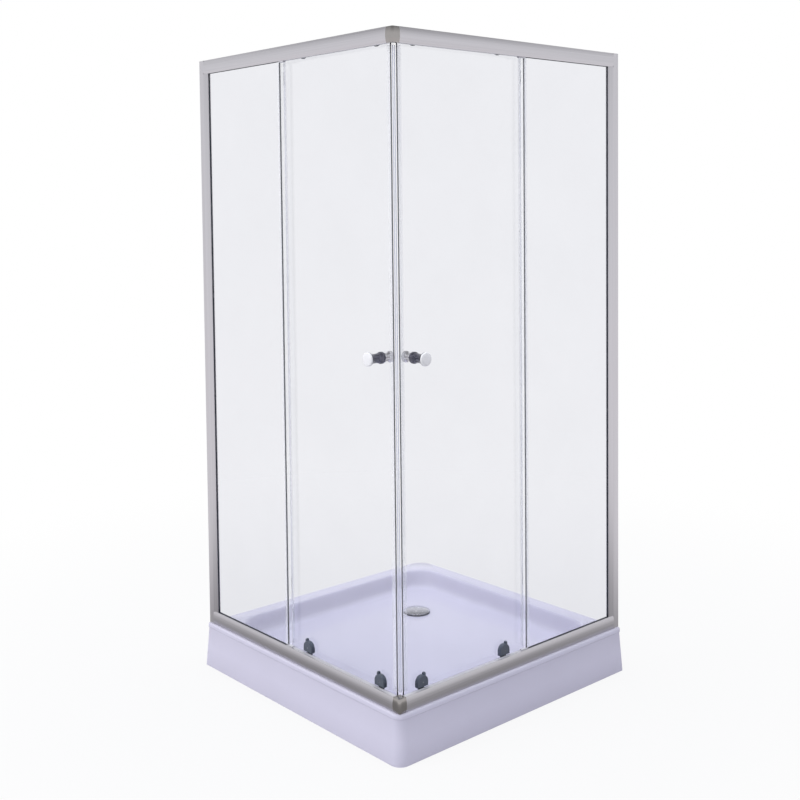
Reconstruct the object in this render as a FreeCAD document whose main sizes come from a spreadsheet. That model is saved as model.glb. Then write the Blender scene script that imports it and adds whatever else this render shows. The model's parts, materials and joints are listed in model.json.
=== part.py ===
import FreeCAD, Part
import math
import os
import re

V = FreeCAD.Vector
os.makedirs("parts", exist_ok=True)
doc = FreeCAD.newDocument("shower_enclosure")
sheet = doc.addObject("Spreadsheet::Sheet", "Sizes")
row_count = 0
tiny = 1e-4
overrun = 1.0
large_sides, medium_sides, small_sides = 20, 18, 10


def size(name, value):
    """Store one named size, in millimetres, in the sheet and hand it back."""
    global row_count
    row_count += 1
    cell = "A%d" % row_count
    sheet.set(cell, repr(round(float(value), 6)))
    sheet.setAlias(cell, name)
    return float(value)


# ---------------------------------------------------------------- sizes
# Tray
tray_side = size("tray_side", 900)
tray_height = size("tray_height", 130)
tray_shell = size("tray_shell", 5)
tray_lip_height = size("tray_lip_height", 15)
tray_lip_overhang = size("tray_lip_overhang", 4)
wall_turn_down = size("wall_turn_down", 30)
apron_top_reach = size("apron_top_reach", 1.5)
apron_corner_radius = size("apron_corner_radius", 30)
board_corner_radius = size("board_corner_radius", 10)
back_corner_radius = size("back_corner_radius", 50)
rim_fillet = size("rim_fillet", 4)
basin_rim_front = size("basin_rim_front", 52)
basin_rim_wall = size("basin_rim_wall", 46)
basin_depth = size("basin_depth", 56)
basin_slope = size("basin_slope", 34)
basin_corner_radius = size("basin_corner_radius", 95)
basin_edge_fillet = size("basin_edge_fillet", 9)
basin_floor_fillet = size("basin_floor_fillet", 16)
floor_fall = size("floor_fall", 4)
drain_offset = size("drain_offset", 250)
drain_dish_radius = size("drain_dish_radius", 60)
drain_fall_radius = size("drain_fall_radius", 150)
drain_hole_radius = size("drain_hole_radius", 40)
# Tray support
board_thickness = size("board_thickness", 12)
board_margin = size("board_margin", 36)
board_drain_radius = size("board_drain_radius", 78)
leg_inset = size("leg_inset", 150)
leg_rod_radius = size("leg_rod_radius", 6)
foot_pad_radius = size("foot_pad_radius", 22)
foot_pad_height = size("foot_pad_height", 12)
foot_pad_collar = size("foot_pad_collar", 2)
# Enclosure
enclosure_height = size("enclosure_height", 1720)
rail_setback = size("rail_setback", 14)
rail_height = size("rail_height", 40)
rail_depth = size("rail_depth", 26)
rail_bulge = size("rail_bulge", 3.2)
rail_wall = size("rail_wall", 1.5)
rail_lip_height = size("rail_lip_height", 6)
glass_thickness = size("glass_thickness", 5)
slot_outer_wall_depth = size("slot_outer_wall_depth", 4)
slot_width = size("slot_width", 8)
slot_depth = size("slot_depth", 18)
glass_setting_gap = size("glass_setting_gap", 2)
ledge_reach = size("ledge_reach", 7.3)
ledge_drop = size("ledge_drop", 8)
rib_half_width = size("rib_half_width", 1.5)
rib_tip_half_width = size("rib_tip_half_width", 0.5)
rib_height = size("rib_height", 2.5)
chamber_top = size("chamber_top", 34)
channel_width = size("channel_width", 22)
channel_depth = size("channel_depth", 22)
channel_setback = size("channel_setback", 2)
channel_wall = size("channel_wall", 1.6)
channel_gap = size("channel_gap", 0.3)
wall_hole_radius = size("wall_hole_radius", 2.75)
wall_hole_outer_inset = size("wall_hole_outer_inset", 150)
wall_hole_inner_inset = size("wall_hole_inner_inset", 600)
stile_tuck = size("stile_tuck", 14)
stile_reach = size("stile_reach", 44)
stile_pocket = size("stile_pocket", 11.5)
stile_nose_step = size("stile_nose_step", 0.2)
stile_nose_bulge = size("stile_nose_bulge", 0.6)
port_inset = size("port_inset", 5)
port_wall = size("port_wall", 1.6)
glass_overlap = size("glass_overlap", 8)
gasket_height = size("gasket_height", 10)
gasket_lip = size("gasket_lip", 0.9)
gasket_gap = size("gasket_gap", 0.05)
gasket_end_gap = size("gasket_end_gap", 1)
clip_length = size("clip_length", 21)
clip_height = size("clip_height", 3)
clip_overhang = size("clip_overhang", 1.2)
seal_wall = size("seal_wall", 1.0)
seal_grip = size("seal_grip", 9)
seal_gap = size("seal_gap", 0.1)
fin_notch = size("fin_notch", 42)
fin_gap = size("fin_gap", 0.4)
seal_end_gap = size("seal_end_gap", 1)
connector_tongue = size("connector_tongue", 25)
connector_corner_radius = size("connector_corner_radius", 9)
tongue_gap = size("tongue_gap", 0.3)
# Doors
door_glass_depth = size("door_glass_depth", 28)
door_glass_width = size("door_glass_width", 450)
door_lead_gap = size("door_lead_gap", 41)
door_edge_bottom = size("door_edge_bottom", 8)
door_edge_top = size("door_edge_top", 4)
door_park = size("door_park", 16)
roller_front = size("roller_front", 97)
roller_rear = size("roller_rear", 87)
lead_seal_grip = size("lead_seal_grip", 12)
nose_lead = size("nose_lead", 2.8)
nose_shoulder = size("nose_shoulder", 4.5)
nose_heel = size("nose_heel", 0.5)
nose_face = size("nose_face", 11)
nose_gap = size("nose_gap", 0.15)
magnet_width = size("magnet_width", 6.2)
magnet_thickness = size("magnet_thickness", 2)
magnet_cover = size("magnet_cover", 1.1)
# Running gear
wheel_radius = size("wheel_radius", 11.5)
wheel_width = size("wheel_width", 5.7)
wheel_running_radius = size("wheel_running_radius", 9.5)
wheel_web_gap = size("wheel_web_gap", 1.6)
wheel_side_gap = size("wheel_side_gap", 0.1)
groove_clearance = size("groove_clearance", 0.1)
wheel_rim = size("wheel_rim", 0.8)
running_clearance = size("running_clearance", 0.05)
axle_radius = size("axle_radius", 3)
axle_head_radius = size("axle_head_radius", 5)
axle_head_height = size("axle_head_height", 1.1)
hub_flange_radius = size("hub_flange_radius", 8)
hub_bush_radius = size("hub_bush_radius", 6)
hub_eccentricity = size("hub_eccentricity", 1.5)
hub_cap_radius = size("hub_cap_radius", 19)
hub_cap_height = size("hub_cap_height", 8)
hub_cap_rim_height = size("hub_cap_rim_height", 3.6)
hub_cap_crown_radius = size("hub_cap_crown_radius", 11.8)
glass_hole_gap = size("glass_hole_gap", 0.4)
seat_gap = size("seat_gap", 0.2)
weld_depth = size("weld_depth", 1)
stop_length = size("stop_length", 12)
stop_gap = size("stop_gap", 0.4)
# Quick-release lower rollers
housing_half_width = size("housing_half_width", 18)
housing_bottom = size("housing_bottom", 41)
housing_height = size("housing_height", 30)
housing_front_depth = size("housing_front_depth", 15.6)
housing_wall = size("housing_wall", 1.6)
housing_floor = size("housing_floor", 2.3)
cavity_half_width = size("cavity_half_width", 13)
cavity_top = size("cavity_top", 62.3)
release_travel = size("release_travel", 5)
arm_thickness = size("arm_thickness", 4)
arm_half_width = size("arm_half_width", 10)
arm_clearance = size("arm_clearance", 1.3)
arm_foot_radius = size("arm_foot_radius", 6.5)
slide_gap = size("slide_gap", 0.3)
boss_radius = size("boss_radius", 4)
boss_height = size("boss_height", 46.5)
head_thickness = size("head_thickness", 4.5)
nub_half_width = size("nub_half_width", 3.5)
nub_offset = size("nub_offset", 8)
nub_top = size("nub_top", 77)
spring_offset = size("spring_offset", 8.5)
spring_strip = size("spring_strip", 0.6)
spring_half_width = size("spring_half_width", 2.4)
spring_waves = size("spring_waves", 5)
housing_cap_radius = size("housing_cap_radius", 12)
housing_cap_height = size("housing_cap_height", 5)
housing_cap_crown_radius = size("housing_cap_crown_radius", 9.6)
# Knobs
knob_inset = size("knob_inset", 84)
knob_height = size("knob_height", 895)
outer_knob_length = size("outer_knob_length", 52)
outer_knob_radius = size("outer_knob_radius", 18)
knob_waist_radius = size("knob_waist_radius", 12)
knob_base_radius = size("knob_base_radius", 15.5)
knob_disc_thickness = size("knob_disc_thickness", 9)
knob_edge = size("knob_edge", 1.5)
knob_neck_half = size("knob_neck_half", 7.2)
knob_base_rim = size("knob_base_rim", 3.6)
knob_cap_radius = size("knob_cap_radius", 15)
knob_cap_thickness = size("knob_cap_thickness", 2)
inner_knob_length = size("inner_knob_length", 28)
inner_knob_radius = size("inner_knob_radius", 15)
inner_knob_disc = size("inner_knob_disc", 6.3)
knob_stud_radius = size("knob_stud_radius", 4)
knob_stud_reach = size("knob_stud_reach", 20)
# Drain
flange_radius = size("flange_radius", 44)
flange_thickness = size("flange_thickness", 2.5)
flange_tube_radius = size("flange_tube_radius", 38)
flange_tube_wall = size("flange_tube_wall", 2)
flange_tube_length = size("flange_tube_length", 18)
spoke_width = size("spoke_width", 3)
spoke_height = size("spoke_height", 6)
cover_radius = size("cover_radius", 43)
cover_rise = size("cover_rise", 6)
cover_thickness = size("cover_thickness", 1.6)
cover_gap = size("cover_gap", 3)
cover_skirt = size("cover_skirt", 12)
cover_edge = size("cover_edge", 1)
cover_crown_radius = size("cover_crown_radius", 23.6)
cover_crown_drop = size("cover_crown_drop", 1.8)
cover_stem_radius = size("cover_stem_radius", 5)
cover_stem_length = size("cover_stem_length", 16)
trap_radius = size("trap_radius", 52)
trap_wall = size("trap_wall", 3)
trap_clearance = size("trap_clearance", 6)
trap_collar_depth = size("trap_collar_depth", 9)
trap_shoulder_reach = size("trap_shoulder_reach", 13)
trap_outlet_radius = size("trap_outlet_radius", 20)
trap_outlet_length = size("trap_outlet_length", 90)
trap_outlet_height = size("trap_outlet_height", 30)
# Fasteners
screw_radius = size("screw_radius", 1.75)
screw_head_radius = size("screw_head_radius", 3.6)
stile_screw_grip = size("stile_screw_grip", 20)

# ---------------------------------------------------------------- sizes that follow from them
enclosure_side = size("enclosure_side", tray_side - rail_setback)
knob_overhang = max(0, outer_knob_length - door_glass_depth - rail_setback)
wall_plane = size("wall_plane", (tray_side + knob_overhang) / 2)
front_plane = size("front_plane", wall_plane - enclosure_side)
slot_outer = slot_outer_wall_depth + rail_wall
slot_inner = slot_outer + slot_width
track_back = slot_inner + rail_wall
fixed_glass_depth = slot_outer + (slot_width - glass_thickness) / 2
fixed_glass_back = fixed_glass_depth + glass_thickness
ledge_top = rail_height - ledge_drop
ledge_under = ledge_top - rail_wall
rib_tip = ledge_under - rib_height
ledge_edge = track_back + ledge_reach
wheel_front = track_back + wheel_web_gap
wheel_back = wheel_front + wheel_width
rib_depth = (wheel_front + wheel_back) / 2
axle_height = size("axle_height", rib_tip - wheel_running_radius - running_clearance)
rail_start = size("rail_start", channel_width + channel_gap)
rail_length = size("rail_length", enclosure_side - rail_depth - rail_start)
rail_end = rail_start + rail_length
stile_length = size("stile_length", enclosure_height - 2 * rail_height)
slot_floor = rail_height - slot_depth
glass_edge = slot_floor + glass_setting_gap
fixed_glass_height = size("fixed_glass_height", enclosure_height - 2 * glass_edge)
fixed_glass_start = stile_reach - stile_pocket + glass_setting_gap / 2
door_front = enclosure_side - door_lead_gap
door_rear = door_front - door_glass_width
fixed_glass_end = door_rear + glass_overlap
door_travel = size("door_travel", door_rear - stile_reach - door_park)
door_glass_back = door_glass_depth + glass_thickness
door_glass_height = size("door_glass_height", enclosure_height - door_edge_bottom - door_edge_top)
roller_front_x = size("roller_front_x", enclosure_side - roller_front)
roller_rear_x = size("roller_rear_x", door_rear + roller_rear)
knob_x = size("knob_x", enclosure_side - knob_inset)
face_mid_height = size("face_mid_height", tray_height + enclosure_height / 2)
basin_floor = tray_height - basin_depth
dish_floor = basin_floor - floor_fall
board_top = dish_floor - tray_shell - seat_gap
board_bottom = size("board_bottom", board_top - board_thickness)
arm_back = door_glass_depth - arm_clearance
arm_front = arm_back - arm_thickness
spring_depth = size("spring_depth", (housing_front_depth + housing_wall + slide_gap + arm_front) / 2)
doc.recompute()


# ---------------------------------------------------------------- helpers
def expression(text):
    return re.sub(r"[a-z][a-z_]+", lambda word: "Sizes." + word.group(0), text)


def place(item, x="0", y="0", z="0", turn=None):
    """Bind a piece's position to the sheet; turn is its rotation."""
    if turn is not None:
        item.Placement = FreeCAD.Placement(V(0, 0, 0), turn)
    for axis, text in (("x", x), ("y", y), ("z", z)):
        item.setExpression("Placement.Base." + axis, expression(text))
    return item


def on_face(item, x="0", z="0", turn=None):
    """Stand a piece in the left glass face's frame: X from the wall, Y into the cabin, Z from the rim."""
    return place(item, "0 - wall_plane + " + x, "front_plane", "tray_height + " + z, turn)


def new_body(name):
    body = doc.addObject("PartDesign::Body", name)
    body.Label = name
    body.AllowCompound = True
    return body


def sketch(body, role, lift=0):
    """An empty sketch on one of the body's own planes, lifted along the plane's normal."""
    made = body.newObject("Sketcher::SketchObject", body.Name + "_sketch")
    base = [item for item in body.Origin.OriginFeatures if item.Role == role][0]
    made.AttachmentSupport = [(base, "")]
    made.MapMode = "FlatFace"
    made.AttachmentOffset = FreeCAD.Placement(V(0, 0, lift), FreeCAD.Rotation())
    return made


def loop(target, *points):
    """Close an outline through points; one marked "arc" is the middle of a curve between its neighbours."""
    count = len(points)
    index = 0
    while index < count:
        start = points[index]
        middle = points[(index + 1) % count]
        if len(middle) == 3:
            end = points[(index + 2) % count]
            target.addGeometry(Part.Arc(*[V(x, y, 0) for x, y in (start, middle[:2], end)]))
            index += 2
        else:
            target.addGeometry(Part.LineSegment(V(start[0], start[1], 0), V(middle[0], middle[1], 0)))
            index += 1


def rectangle(target, x0, y0, x1, y1):
    loop(target, (x0, y0), (x1, y0), (x1, y1), (x0, y1))


def circle(target, x, y, radius):
    target.addGeometry(Part.Circle(V(x, y, 0), V(0, 0, 1), radius))


def extrude(body, profile, length, cut=False, reverse=False, name=None):
    """Pad or pocket a profile; name binds the length to the sheet."""
    made = body.newObject("PartDesign::Pocket" if cut else "PartDesign::Pad", body.Name + "_step")
    made.Profile = profile
    made.Length = length
    made.Reversed = reverse
    if name:
        made.setExpression("Length", "Sizes." + name)
    return made


def polygon(target, x, y, radius, sides):
    """A regular outline about a point, its corners at a radius."""
    step = 2 * math.pi / sides
    turns = [step * (n + 0.5) for n in range(sides)]
    loop(target, *[(x + radius * math.cos(turn), y + radius * math.sin(turn)) for turn in turns])


def around(radius, sides):
    """Corner radius of the regular outline that stays outside a circle."""
    return radius / math.cos(math.pi / sides)


def taper(body, made, outline, run, chosen):
    """Lean the chosen upright faces of a newly padded tier, so that its top is wider by run than its foot."""
    made.Refine = False
    doc.recompute([outline, made])
    low = outline.AttachmentOffset.Base.z
    high = low + made.Length.Value
    faces = []
    for number, face in enumerate(made.Shape.Faces, 1):
        spans = abs(face.BoundBox.ZMin - low) < tiny and abs(face.BoundBox.ZMax - high) < tiny
        if spans and chosen(face):
            faces.append("Face%d" % number)
    draft = body.newObject("PartDesign::Draft", body.Name + "_taper")
    draft.Base = (made, faces)
    draft.NeutralPlane = (outline, [""])
    draft.Angle = math.degrees(math.atan(abs(run) / (high - low)))
    draft.Reversed = run > 0
    draft.Refine = False


def stack(body, sides, *rings, cut=False):
    """Build a many-sided turned form along the body's Z axis from rising (radius, height) rings."""
    flat = math.cos(math.pi / sides)
    for (radius, low), (end_radius, high) in zip(rings, rings[1:]):
        outline = sketch(body, "XY_Plane", low)
        polygon(outline, 0, 0, radius, sides)
        made = extrude(body, outline, high - low, cut=cut, reverse=cut)
        if radius != end_radius:
            taper(
                body, made, outline, (end_radius - radius) * flat,
                lambda face: abs(math.hypot(face.CenterOfMass.x, face.CenterOfMass.y) - radius * flat) < tiny,
            )


def link(source, label):
    made = doc.addObject("App::Link", label)
    made.LinkedObject = source
    return made


def gather(label, *items):
    made = doc.addObject("Part::Compound", label)
    made.Label = label
    made.Links = list(items)
    return made


def mirrored(label, source):
    """The same piece on the right face: a mirror image across the plane through front and back corners."""
    made = doc.addObject("Part::Mirroring", label)
    made.Label = label
    made.Source = source
    made.Base = V(0, 0, 0)
    made.Normal = V(1, 1, 0)
    return made


def upside_down(label, source):
    """The same piece at the top rail: a mirror image across the face's middle height."""
    made = doc.addObject("Part::Mirroring", label)
    made.Label = label
    made.Source = source
    made.Normal = V(0, 0, 1)
    made.setExpression("Base.z", "Sizes.face_mid_height")
    return made


def combine(kind, label, base, tool):
    made = doc.addObject(kind, label)
    made.Label = label
    made.Base = base
    made.Tool = tool
    return made


nodes = []


def keep(item):
    nodes.append(item)
    return item


def both_faces(left):
    """Keep a left piece and its mirror image on the right face."""
    keep(left)
    keep(mirrored(left.Label.replace("left_", "right_"), left))


along_depth = FreeCAD.Rotation(V(1, 0, 0), -90)
from_depth = FreeCAD.Rotation(V(1, 0, 0), 90)


# ---------------------------------------------------------------- tray
corner_steps = 4


def tray_loop(target, wall_in, front_in, back_radius, side_radius, front_radius):
    """A square with four cut-round corners, X from one wall and minus Y from the other."""
    low, high = wall_in, tray_side - front_in
    corners = (
        (low, low, back_radius), (high, low, side_radius),
        (high, high, front_radius), (low, high, side_radius),
    )
    reach = 1 / math.cos(math.pi / 4 / corner_steps)
    points = []
    for (x, y, radius), start in zip(corners, (180, 270, 0, 90)):
        centre_x = x + (radius if x == low else -radius)
        centre_y = y + (radius if y == low else -radius)
        for step in range(corner_steps if radius else 1):
            angle = math.radians(start + 90 * (step + 0.5) / corner_steps)
            out_x, out_y = radius * reach * math.cos(angle), radius * reach * math.sin(angle)
            points.append((centre_x + out_x, -centre_y - out_y))
    loop(target, *points)


def faces_cabin_front(face):
    normal = face.normalAt(0, 0)
    return normal.x > tiny or normal.y < -tiny


def upright(face):
    return abs(face.normalAt(0, 0).z) < tiny


def tier(body, low, high, insets, radii, run=0, chosen=upright):
    """One tier of a tray form: an outline padded up from a height, its chosen sides leaning out by run."""
    outline = sketch(body, "XY_Plane", low)
    tray_loop(outline, *insets, *radii)
    made = extrude(body, outline, high - low)
    if run:
        taper(body, made, outline, run, chosen)


lip_start = tray_height - tray_lip_height
apron_lean = rail_setback - apron_top_reach
lip_in = rail_setback - tray_lip_overhang
rim_start = tray_height - rim_fillet
rim_turn = rim_fillet / 2
outer_radii = (back_corner_radius, 0, apron_corner_radius)
tray_outer = new_body("tray_outer")
tier(tray_outer, 0, lip_start, (0, 0), outer_radii, -apron_lean, faces_cabin_front)
tier(tray_outer, lip_start, rim_start, (0, lip_in), outer_radii)
tier(tray_outer, rim_start, tray_height, (0, lip_in), outer_radii, -rim_turn, faces_cabin_front)

tray_hollow = new_body("tray_hollow")
hollow_top = tray_height - tray_shell
open_top = tray_height - wall_turn_down
open_lean = apron_lean * open_top / lip_start
inner_radius = apron_corner_radius - tray_shell
tier(tray_hollow, 0, open_top, (-tray_shell, tray_shell), (0, 0, inner_radius), -open_lean, faces_cabin_front)
closed_radii = (back_corner_radius, 0, inner_radius - open_lean)
tier(tray_hollow, open_top, hollow_top, (tray_shell, tray_shell + open_lean), closed_radii)

foot_rise, foot_run = basin_floor_fillet / 2, basin_floor_fillet
head_rise, head_run = basin_edge_fillet, basin_edge_fillet / 2


def basin(name, grow, top):
    """The room in the basin, grown outwards by a wall: floor, rounded foot, slope and rounded edge."""
    body = new_body(name)
    base = basin_floor - grow
    slope_foot, slope_head = base + foot_rise, tray_height - head_rise
    slope_run = basin_slope - foot_run - head_run
    wall_in, front_in = basin_rim_wall - grow, rail_setback + basin_rim_front - grow
    inset = basin_slope
    tiers = ((base, slope_foot, foot_run), (slope_foot, slope_head, slope_run), (slope_head, top, head_run))
    for low, high, run in tiers:
        radius = basin_corner_radius + grow - inset
        tier(body, low, high, (wall_in + inset, front_in + inset), (radius, radius, radius), run)
        inset -= run
    fall = new_body(name + "_fall")
    stack(
        fall, large_sides,
        (drain_dish_radius + grow, base - floor_fall), (drain_fall_radius + grow, base),
        (drain_fall_radius, base + overrun),
    )
    place(fall, "drain_offset", "0 - drain_offset")
    both = combine("Part::Fuse", name + "_room", body, fall)
    return both


basin_room = basin("basin", 0, tray_height)
basin_skin = basin("basin_skin", tray_shell, tray_height)
drain_hole = new_body("drain_hole")
stack(drain_hole, large_sides, (drain_hole_radius, 0), (drain_hole_radius, basin_floor))
place(drain_hole, "drain_offset", "0 - drain_offset")
removed = combine("Part::Fuse", "basin_and_drain", basin_room, drain_hole)
tray_solid = combine("Part::Cut", "tray_solid", tray_outer, removed)
hollow = combine("Part::Cut", "tray_hollow_space", tray_hollow, basin_skin)
tray = combine("Part::Cut", "tray", tray_solid, hollow)
place(tray, "0 - wall_plane", "wall_plane")
keep(tray)

tray_board = new_body("tray_board")
board_outline = sketch(tray_board, "XY_Plane", board_bottom)
board_wall_in = basin_rim_wall + basin_slope + board_margin / 2
board_front_in = rail_setback + basin_rim_front + basin_slope + board_margin / 2
tray_loop(board_outline, board_wall_in, board_front_in, *[board_corner_radius] * 3)
circle(board_outline, drain_offset, -drain_offset, board_drain_radius)
extrude(tray_board, board_outline, board_thickness, name="board_thickness")
keep(place(tray_board, "0 - wall_plane", "wall_plane"))

leg = new_body("leg_proto")
leg_foot = foot_pad_height + running_clearance
stack(leg, small_sides, (leg_rod_radius, leg_foot), (leg_rod_radius, board_bottom - seat_gap))
foot_pad = new_body("foot_pad_proto")
stack(
    foot_pad, small_sides,
    (foot_pad_radius, 0), (foot_pad_radius, foot_pad_height / 3),
    (leg_rod_radius + foot_pad_collar, foot_pad_height),
)
leg_far = "tray_side - leg_inset"
leg_places = (
    ("leg_inset", "leg_inset"), (leg_far, "leg_inset"), ("leg_inset", leg_far), (leg_far, leg_far),
    ("tray_side / 2", "tray_side / 2"),
)
for label, source in (("tray_legs", leg), ("tray_foot_pads", foot_pad)):
    copies = []
    for number, (x, y) in enumerate(leg_places, 1):
        copy = link(source, "%s_%d" % (label, number))
        copies.append(place(copy, "0 - wall_plane + " + x, "wall_plane - (" + y + ")"))
    keep(gather(label, *copies))

# ---------------------------------------------------------------- drain
flange_top = dish_floor + seat_gap + flange_thickness
hub_radius = cover_stem_radius + spoke_width
tube_inner = flange_tube_radius - flange_tube_wall
drain_flange = new_body("drain_flange")
flange_seat = dish_floor + seat_gap
tube_foot = dish_floor - flange_tube_length
flange_edge = flange_radius - flange_thickness / 2
stack(drain_flange, large_sides, (flange_tube_radius, tube_foot), (flange_tube_radius, flange_seat))
stack(drain_flange, large_sides, (flange_radius, flange_seat), (flange_edge, flange_top))
stack(drain_flange, large_sides, (tube_inner, tube_foot - overrun), (tube_inner, flange_top + overrun), cut=True)
spokes = sketch(drain_flange, "XY_Plane", flange_top - spoke_height)
reach = tube_inner + flange_tube_wall / 2
half = spoke_width / 2
loop(
    spokes,
    (-reach, -half), (-half, -half), (-half, -reach), (half, -reach), (half, -half), (reach, -half),
    (reach, half), (half, half), (half, reach), (-half, reach), (-half, half), (-reach, half),
)
extrude(drain_flange, spokes, spoke_height - flange_thickness / 2)
hub_foot = flange_top - spoke_height
stack(drain_flange, small_sides, (hub_radius, hub_foot), (hub_radius, flange_top - flange_thickness / 2))
stem_bore = around(cover_stem_radius, small_sides) + running_clearance
stack(drain_flange, small_sides, (stem_bore, hub_foot - overrun), (stem_bore, flange_top + overrun), cut=True)
drain_x, drain_y = "drain_offset - wall_plane", "wall_plane - drain_offset"
keep(place(drain_flange, drain_x, drain_y))

cover_seat = flange_top - flange_thickness / 2 + running_clearance
cover_low = flange_top + cover_gap
cover_top = cover_low + cover_rise
drain_cover = new_body("drain_cover")
crown_edge = cover_top - cover_crown_drop
stack(
    drain_cover, large_sides,
    (cover_radius, cover_low), (cover_radius, cover_low + cover_edge),
    (cover_crown_radius, crown_edge), (hub_radius, cover_top),
)
skirt_inner = cover_radius - cover_skirt
skirt_top, crown_under = cover_low + cover_thickness, crown_edge - cover_thickness
stem_foot = cover_seat - cover_stem_length
stack(drain_cover, medium_sides, (skirt_inner, cover_low), (skirt_inner, skirt_top), cut=True)
stack(drain_cover, small_sides, (cover_crown_radius, cover_low), (cover_crown_radius, crown_under), cut=True)
stack(drain_cover, small_sides, (hub_radius, cover_seat), (hub_radius, cover_top - cover_thickness / 2))
stack(drain_cover, small_sides, (cover_stem_radius, stem_foot), (cover_stem_radius, cover_seat))
keep(place(drain_cover, drain_x, drain_y))

trap_top = dish_floor - tray_shell - seat_gap
collar_radius = around(flange_tube_radius, large_sides) + running_clearance
cup_radius = trap_radius - trap_wall
cup_floor = trap_clearance + trap_wall
drain_trap = new_body("drain_trap")
stack(
    drain_trap, medium_sides,
    (cup_radius, trap_clearance), (trap_radius, cup_floor), (trap_radius, trap_top),
)
collar_floor = trap_top - trap_collar_depth
stack(drain_trap, large_sides, (collar_radius, collar_floor), (collar_radius, trap_top + overrun), cut=True)
stack(drain_trap, medium_sides, (cup_radius, cup_floor), (cup_radius, collar_floor + trap_wall), cut=True)
shoulder = sketch(drain_trap, "YZ_Plane", -cup_radius)
polygon(shoulder, 0, trap_outlet_height, trap_outlet_radius + trap_wall, small_sides)
extrude(drain_trap, shoulder, trap_wall + trap_shoulder_reach, reverse=True)
pipe = sketch(drain_trap, "YZ_Plane", -cup_radius)
circle(pipe, 0, trap_outlet_height, trap_outlet_radius)
extrude(drain_trap, pipe, trap_outlet_length, reverse=True, name="trap_outlet_length")
pipe_bore = sketch(drain_trap, "YZ_Plane", -cup_radius + trap_wall)
polygon(pipe_bore, 0, trap_outlet_height, trap_outlet_radius - trap_wall, small_sides)
extrude(drain_trap, pipe_bore, trap_outlet_length * 2, cut=True)
keep(place(drain_trap, drain_x, drain_y))


# ---------------------------------------------------------------- rails
curve_radius = ((rail_height / 2) ** 2 + rail_bulge**2) / (2 * rail_bulge)


def bulge_at(height, inset):
    """Depth of the rail's curved face at a height, a given distance behind its skin."""
    return curve_radius - math.sqrt((curve_radius - inset) ** 2 - (height - rail_height / 2) ** 2)


bottom_rail = new_body("left_bottom_rail")
section = sketch(bottom_rail, "YZ_Plane", rail_start)
loop(
    section,
    (rail_bulge, 0), (rail_depth, 0), (rail_depth, rail_lip_height),
    (rail_depth - rail_wall, rail_lip_height),
    (rail_depth - rail_wall, rail_wall), (track_back, rail_wall), (track_back, ledge_under),
    (rib_depth - rib_half_width, ledge_under), (rib_depth - rib_tip_half_width, rib_tip),
    (rib_depth + rib_tip_half_width, rib_tip), (rib_depth + rib_half_width, ledge_under),
    (ledge_edge, ledge_under), (ledge_edge, ledge_top), (track_back, ledge_top), (track_back, rail_height),
    (slot_inner, rail_height), (slot_inner, slot_floor), (slot_outer, slot_floor), (slot_outer, rail_height),
    (rail_bulge, rail_height), (0, rail_height / 2, "arc"),
)
chamber_height = slot_floor - rail_wall
loop(
    section,
    (bulge_at(rail_wall, rail_wall), rail_wall), (slot_inner, rail_wall), (slot_inner, chamber_height),
    (slot_outer_wall_depth, chamber_height), (slot_outer_wall_depth, chamber_top),
    (bulge_at(chamber_top, rail_wall), chamber_top), (rail_wall, rail_height / 2, "arc"),
)
extrude(bottom_rail, section, rail_length, name="rail_length")
port_x = stile_reach - stile_pocket - rail_wall - port_inset
port_depth = (slot_outer + slot_inner) / 2
screw_hole = screw_radius + running_clearance
for lift, radius in ((rail_height, screw_hole), (rail_wall, screw_head_radius + running_clearance)):
    stile_hole = sketch(bottom_rail, "XY_Plane", lift)
    polygon(stile_hole, port_x, port_depth, around(radius, 10), 10)
    extrude(bottom_rail, stile_hole, lift, cut=True)
on_face(bottom_rail)
both_faces(bottom_rail)
top_rail = upside_down("left_top_rail", bottom_rail)
both_faces(top_rail)

# ---------------------------------------------------------------- corner connectors
block_plan = new_body("connector_plan")
plan = sketch(block_plan, "XY_Plane")
corner = enclosure_side
bend = connector_corner_radius * (1 - math.sqrt(0.5))
inside = enclosure_side - rail_depth
loop(
    plan,
    (inside, 0), (corner - connector_corner_radius, 0), (corner - bend, bend, "arc"),
    (corner, connector_corner_radius),
    (corner, rail_depth), (inside, rail_depth),
)
extrude(block_plan, plan, rail_height, name="rail_height")
block_left = new_body("connector_left_profile")
profile = sketch(block_left, "YZ_Plane", inside)
loop(
    profile,
    (rail_bulge, 0), (rail_depth, 0), (rail_depth, rail_height), (rail_bulge, rail_height),
    (0, rail_height / 2, "arc"),
)
extrude(block_left, profile, rail_depth, name="rail_depth")
tongue = new_body("connector_tongue_body")
profile = sketch(tongue, "YZ_Plane", rail_end - connector_tongue)
rectangle(
    profile,
    bulge_at(rail_wall, rail_wall) + tongue_gap, rail_wall + tongue_gap,
    slot_inner - tongue_gap, chamber_height - tongue_gap,
)
extrude(tongue, profile, connector_tongue + overrun)
for item in (block_plan, block_left, tongue):
    on_face(item)
block = doc.addObject("Part::MultiCommon", "connector_block")
block.Shapes = [block_plan, block_left, mirrored("connector_right_profile", block_left)]
bottom_connector = doc.addObject("Part::MultiFuse", "bottom_corner_connector")
bottom_connector.Label = "bottom_corner_connector"
bottom_connector.Shapes = [block, tongue, mirrored("connector_right_tongue", tongue)]
keep(bottom_connector)
keep(upside_down("top_corner_connector", bottom_connector))

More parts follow.
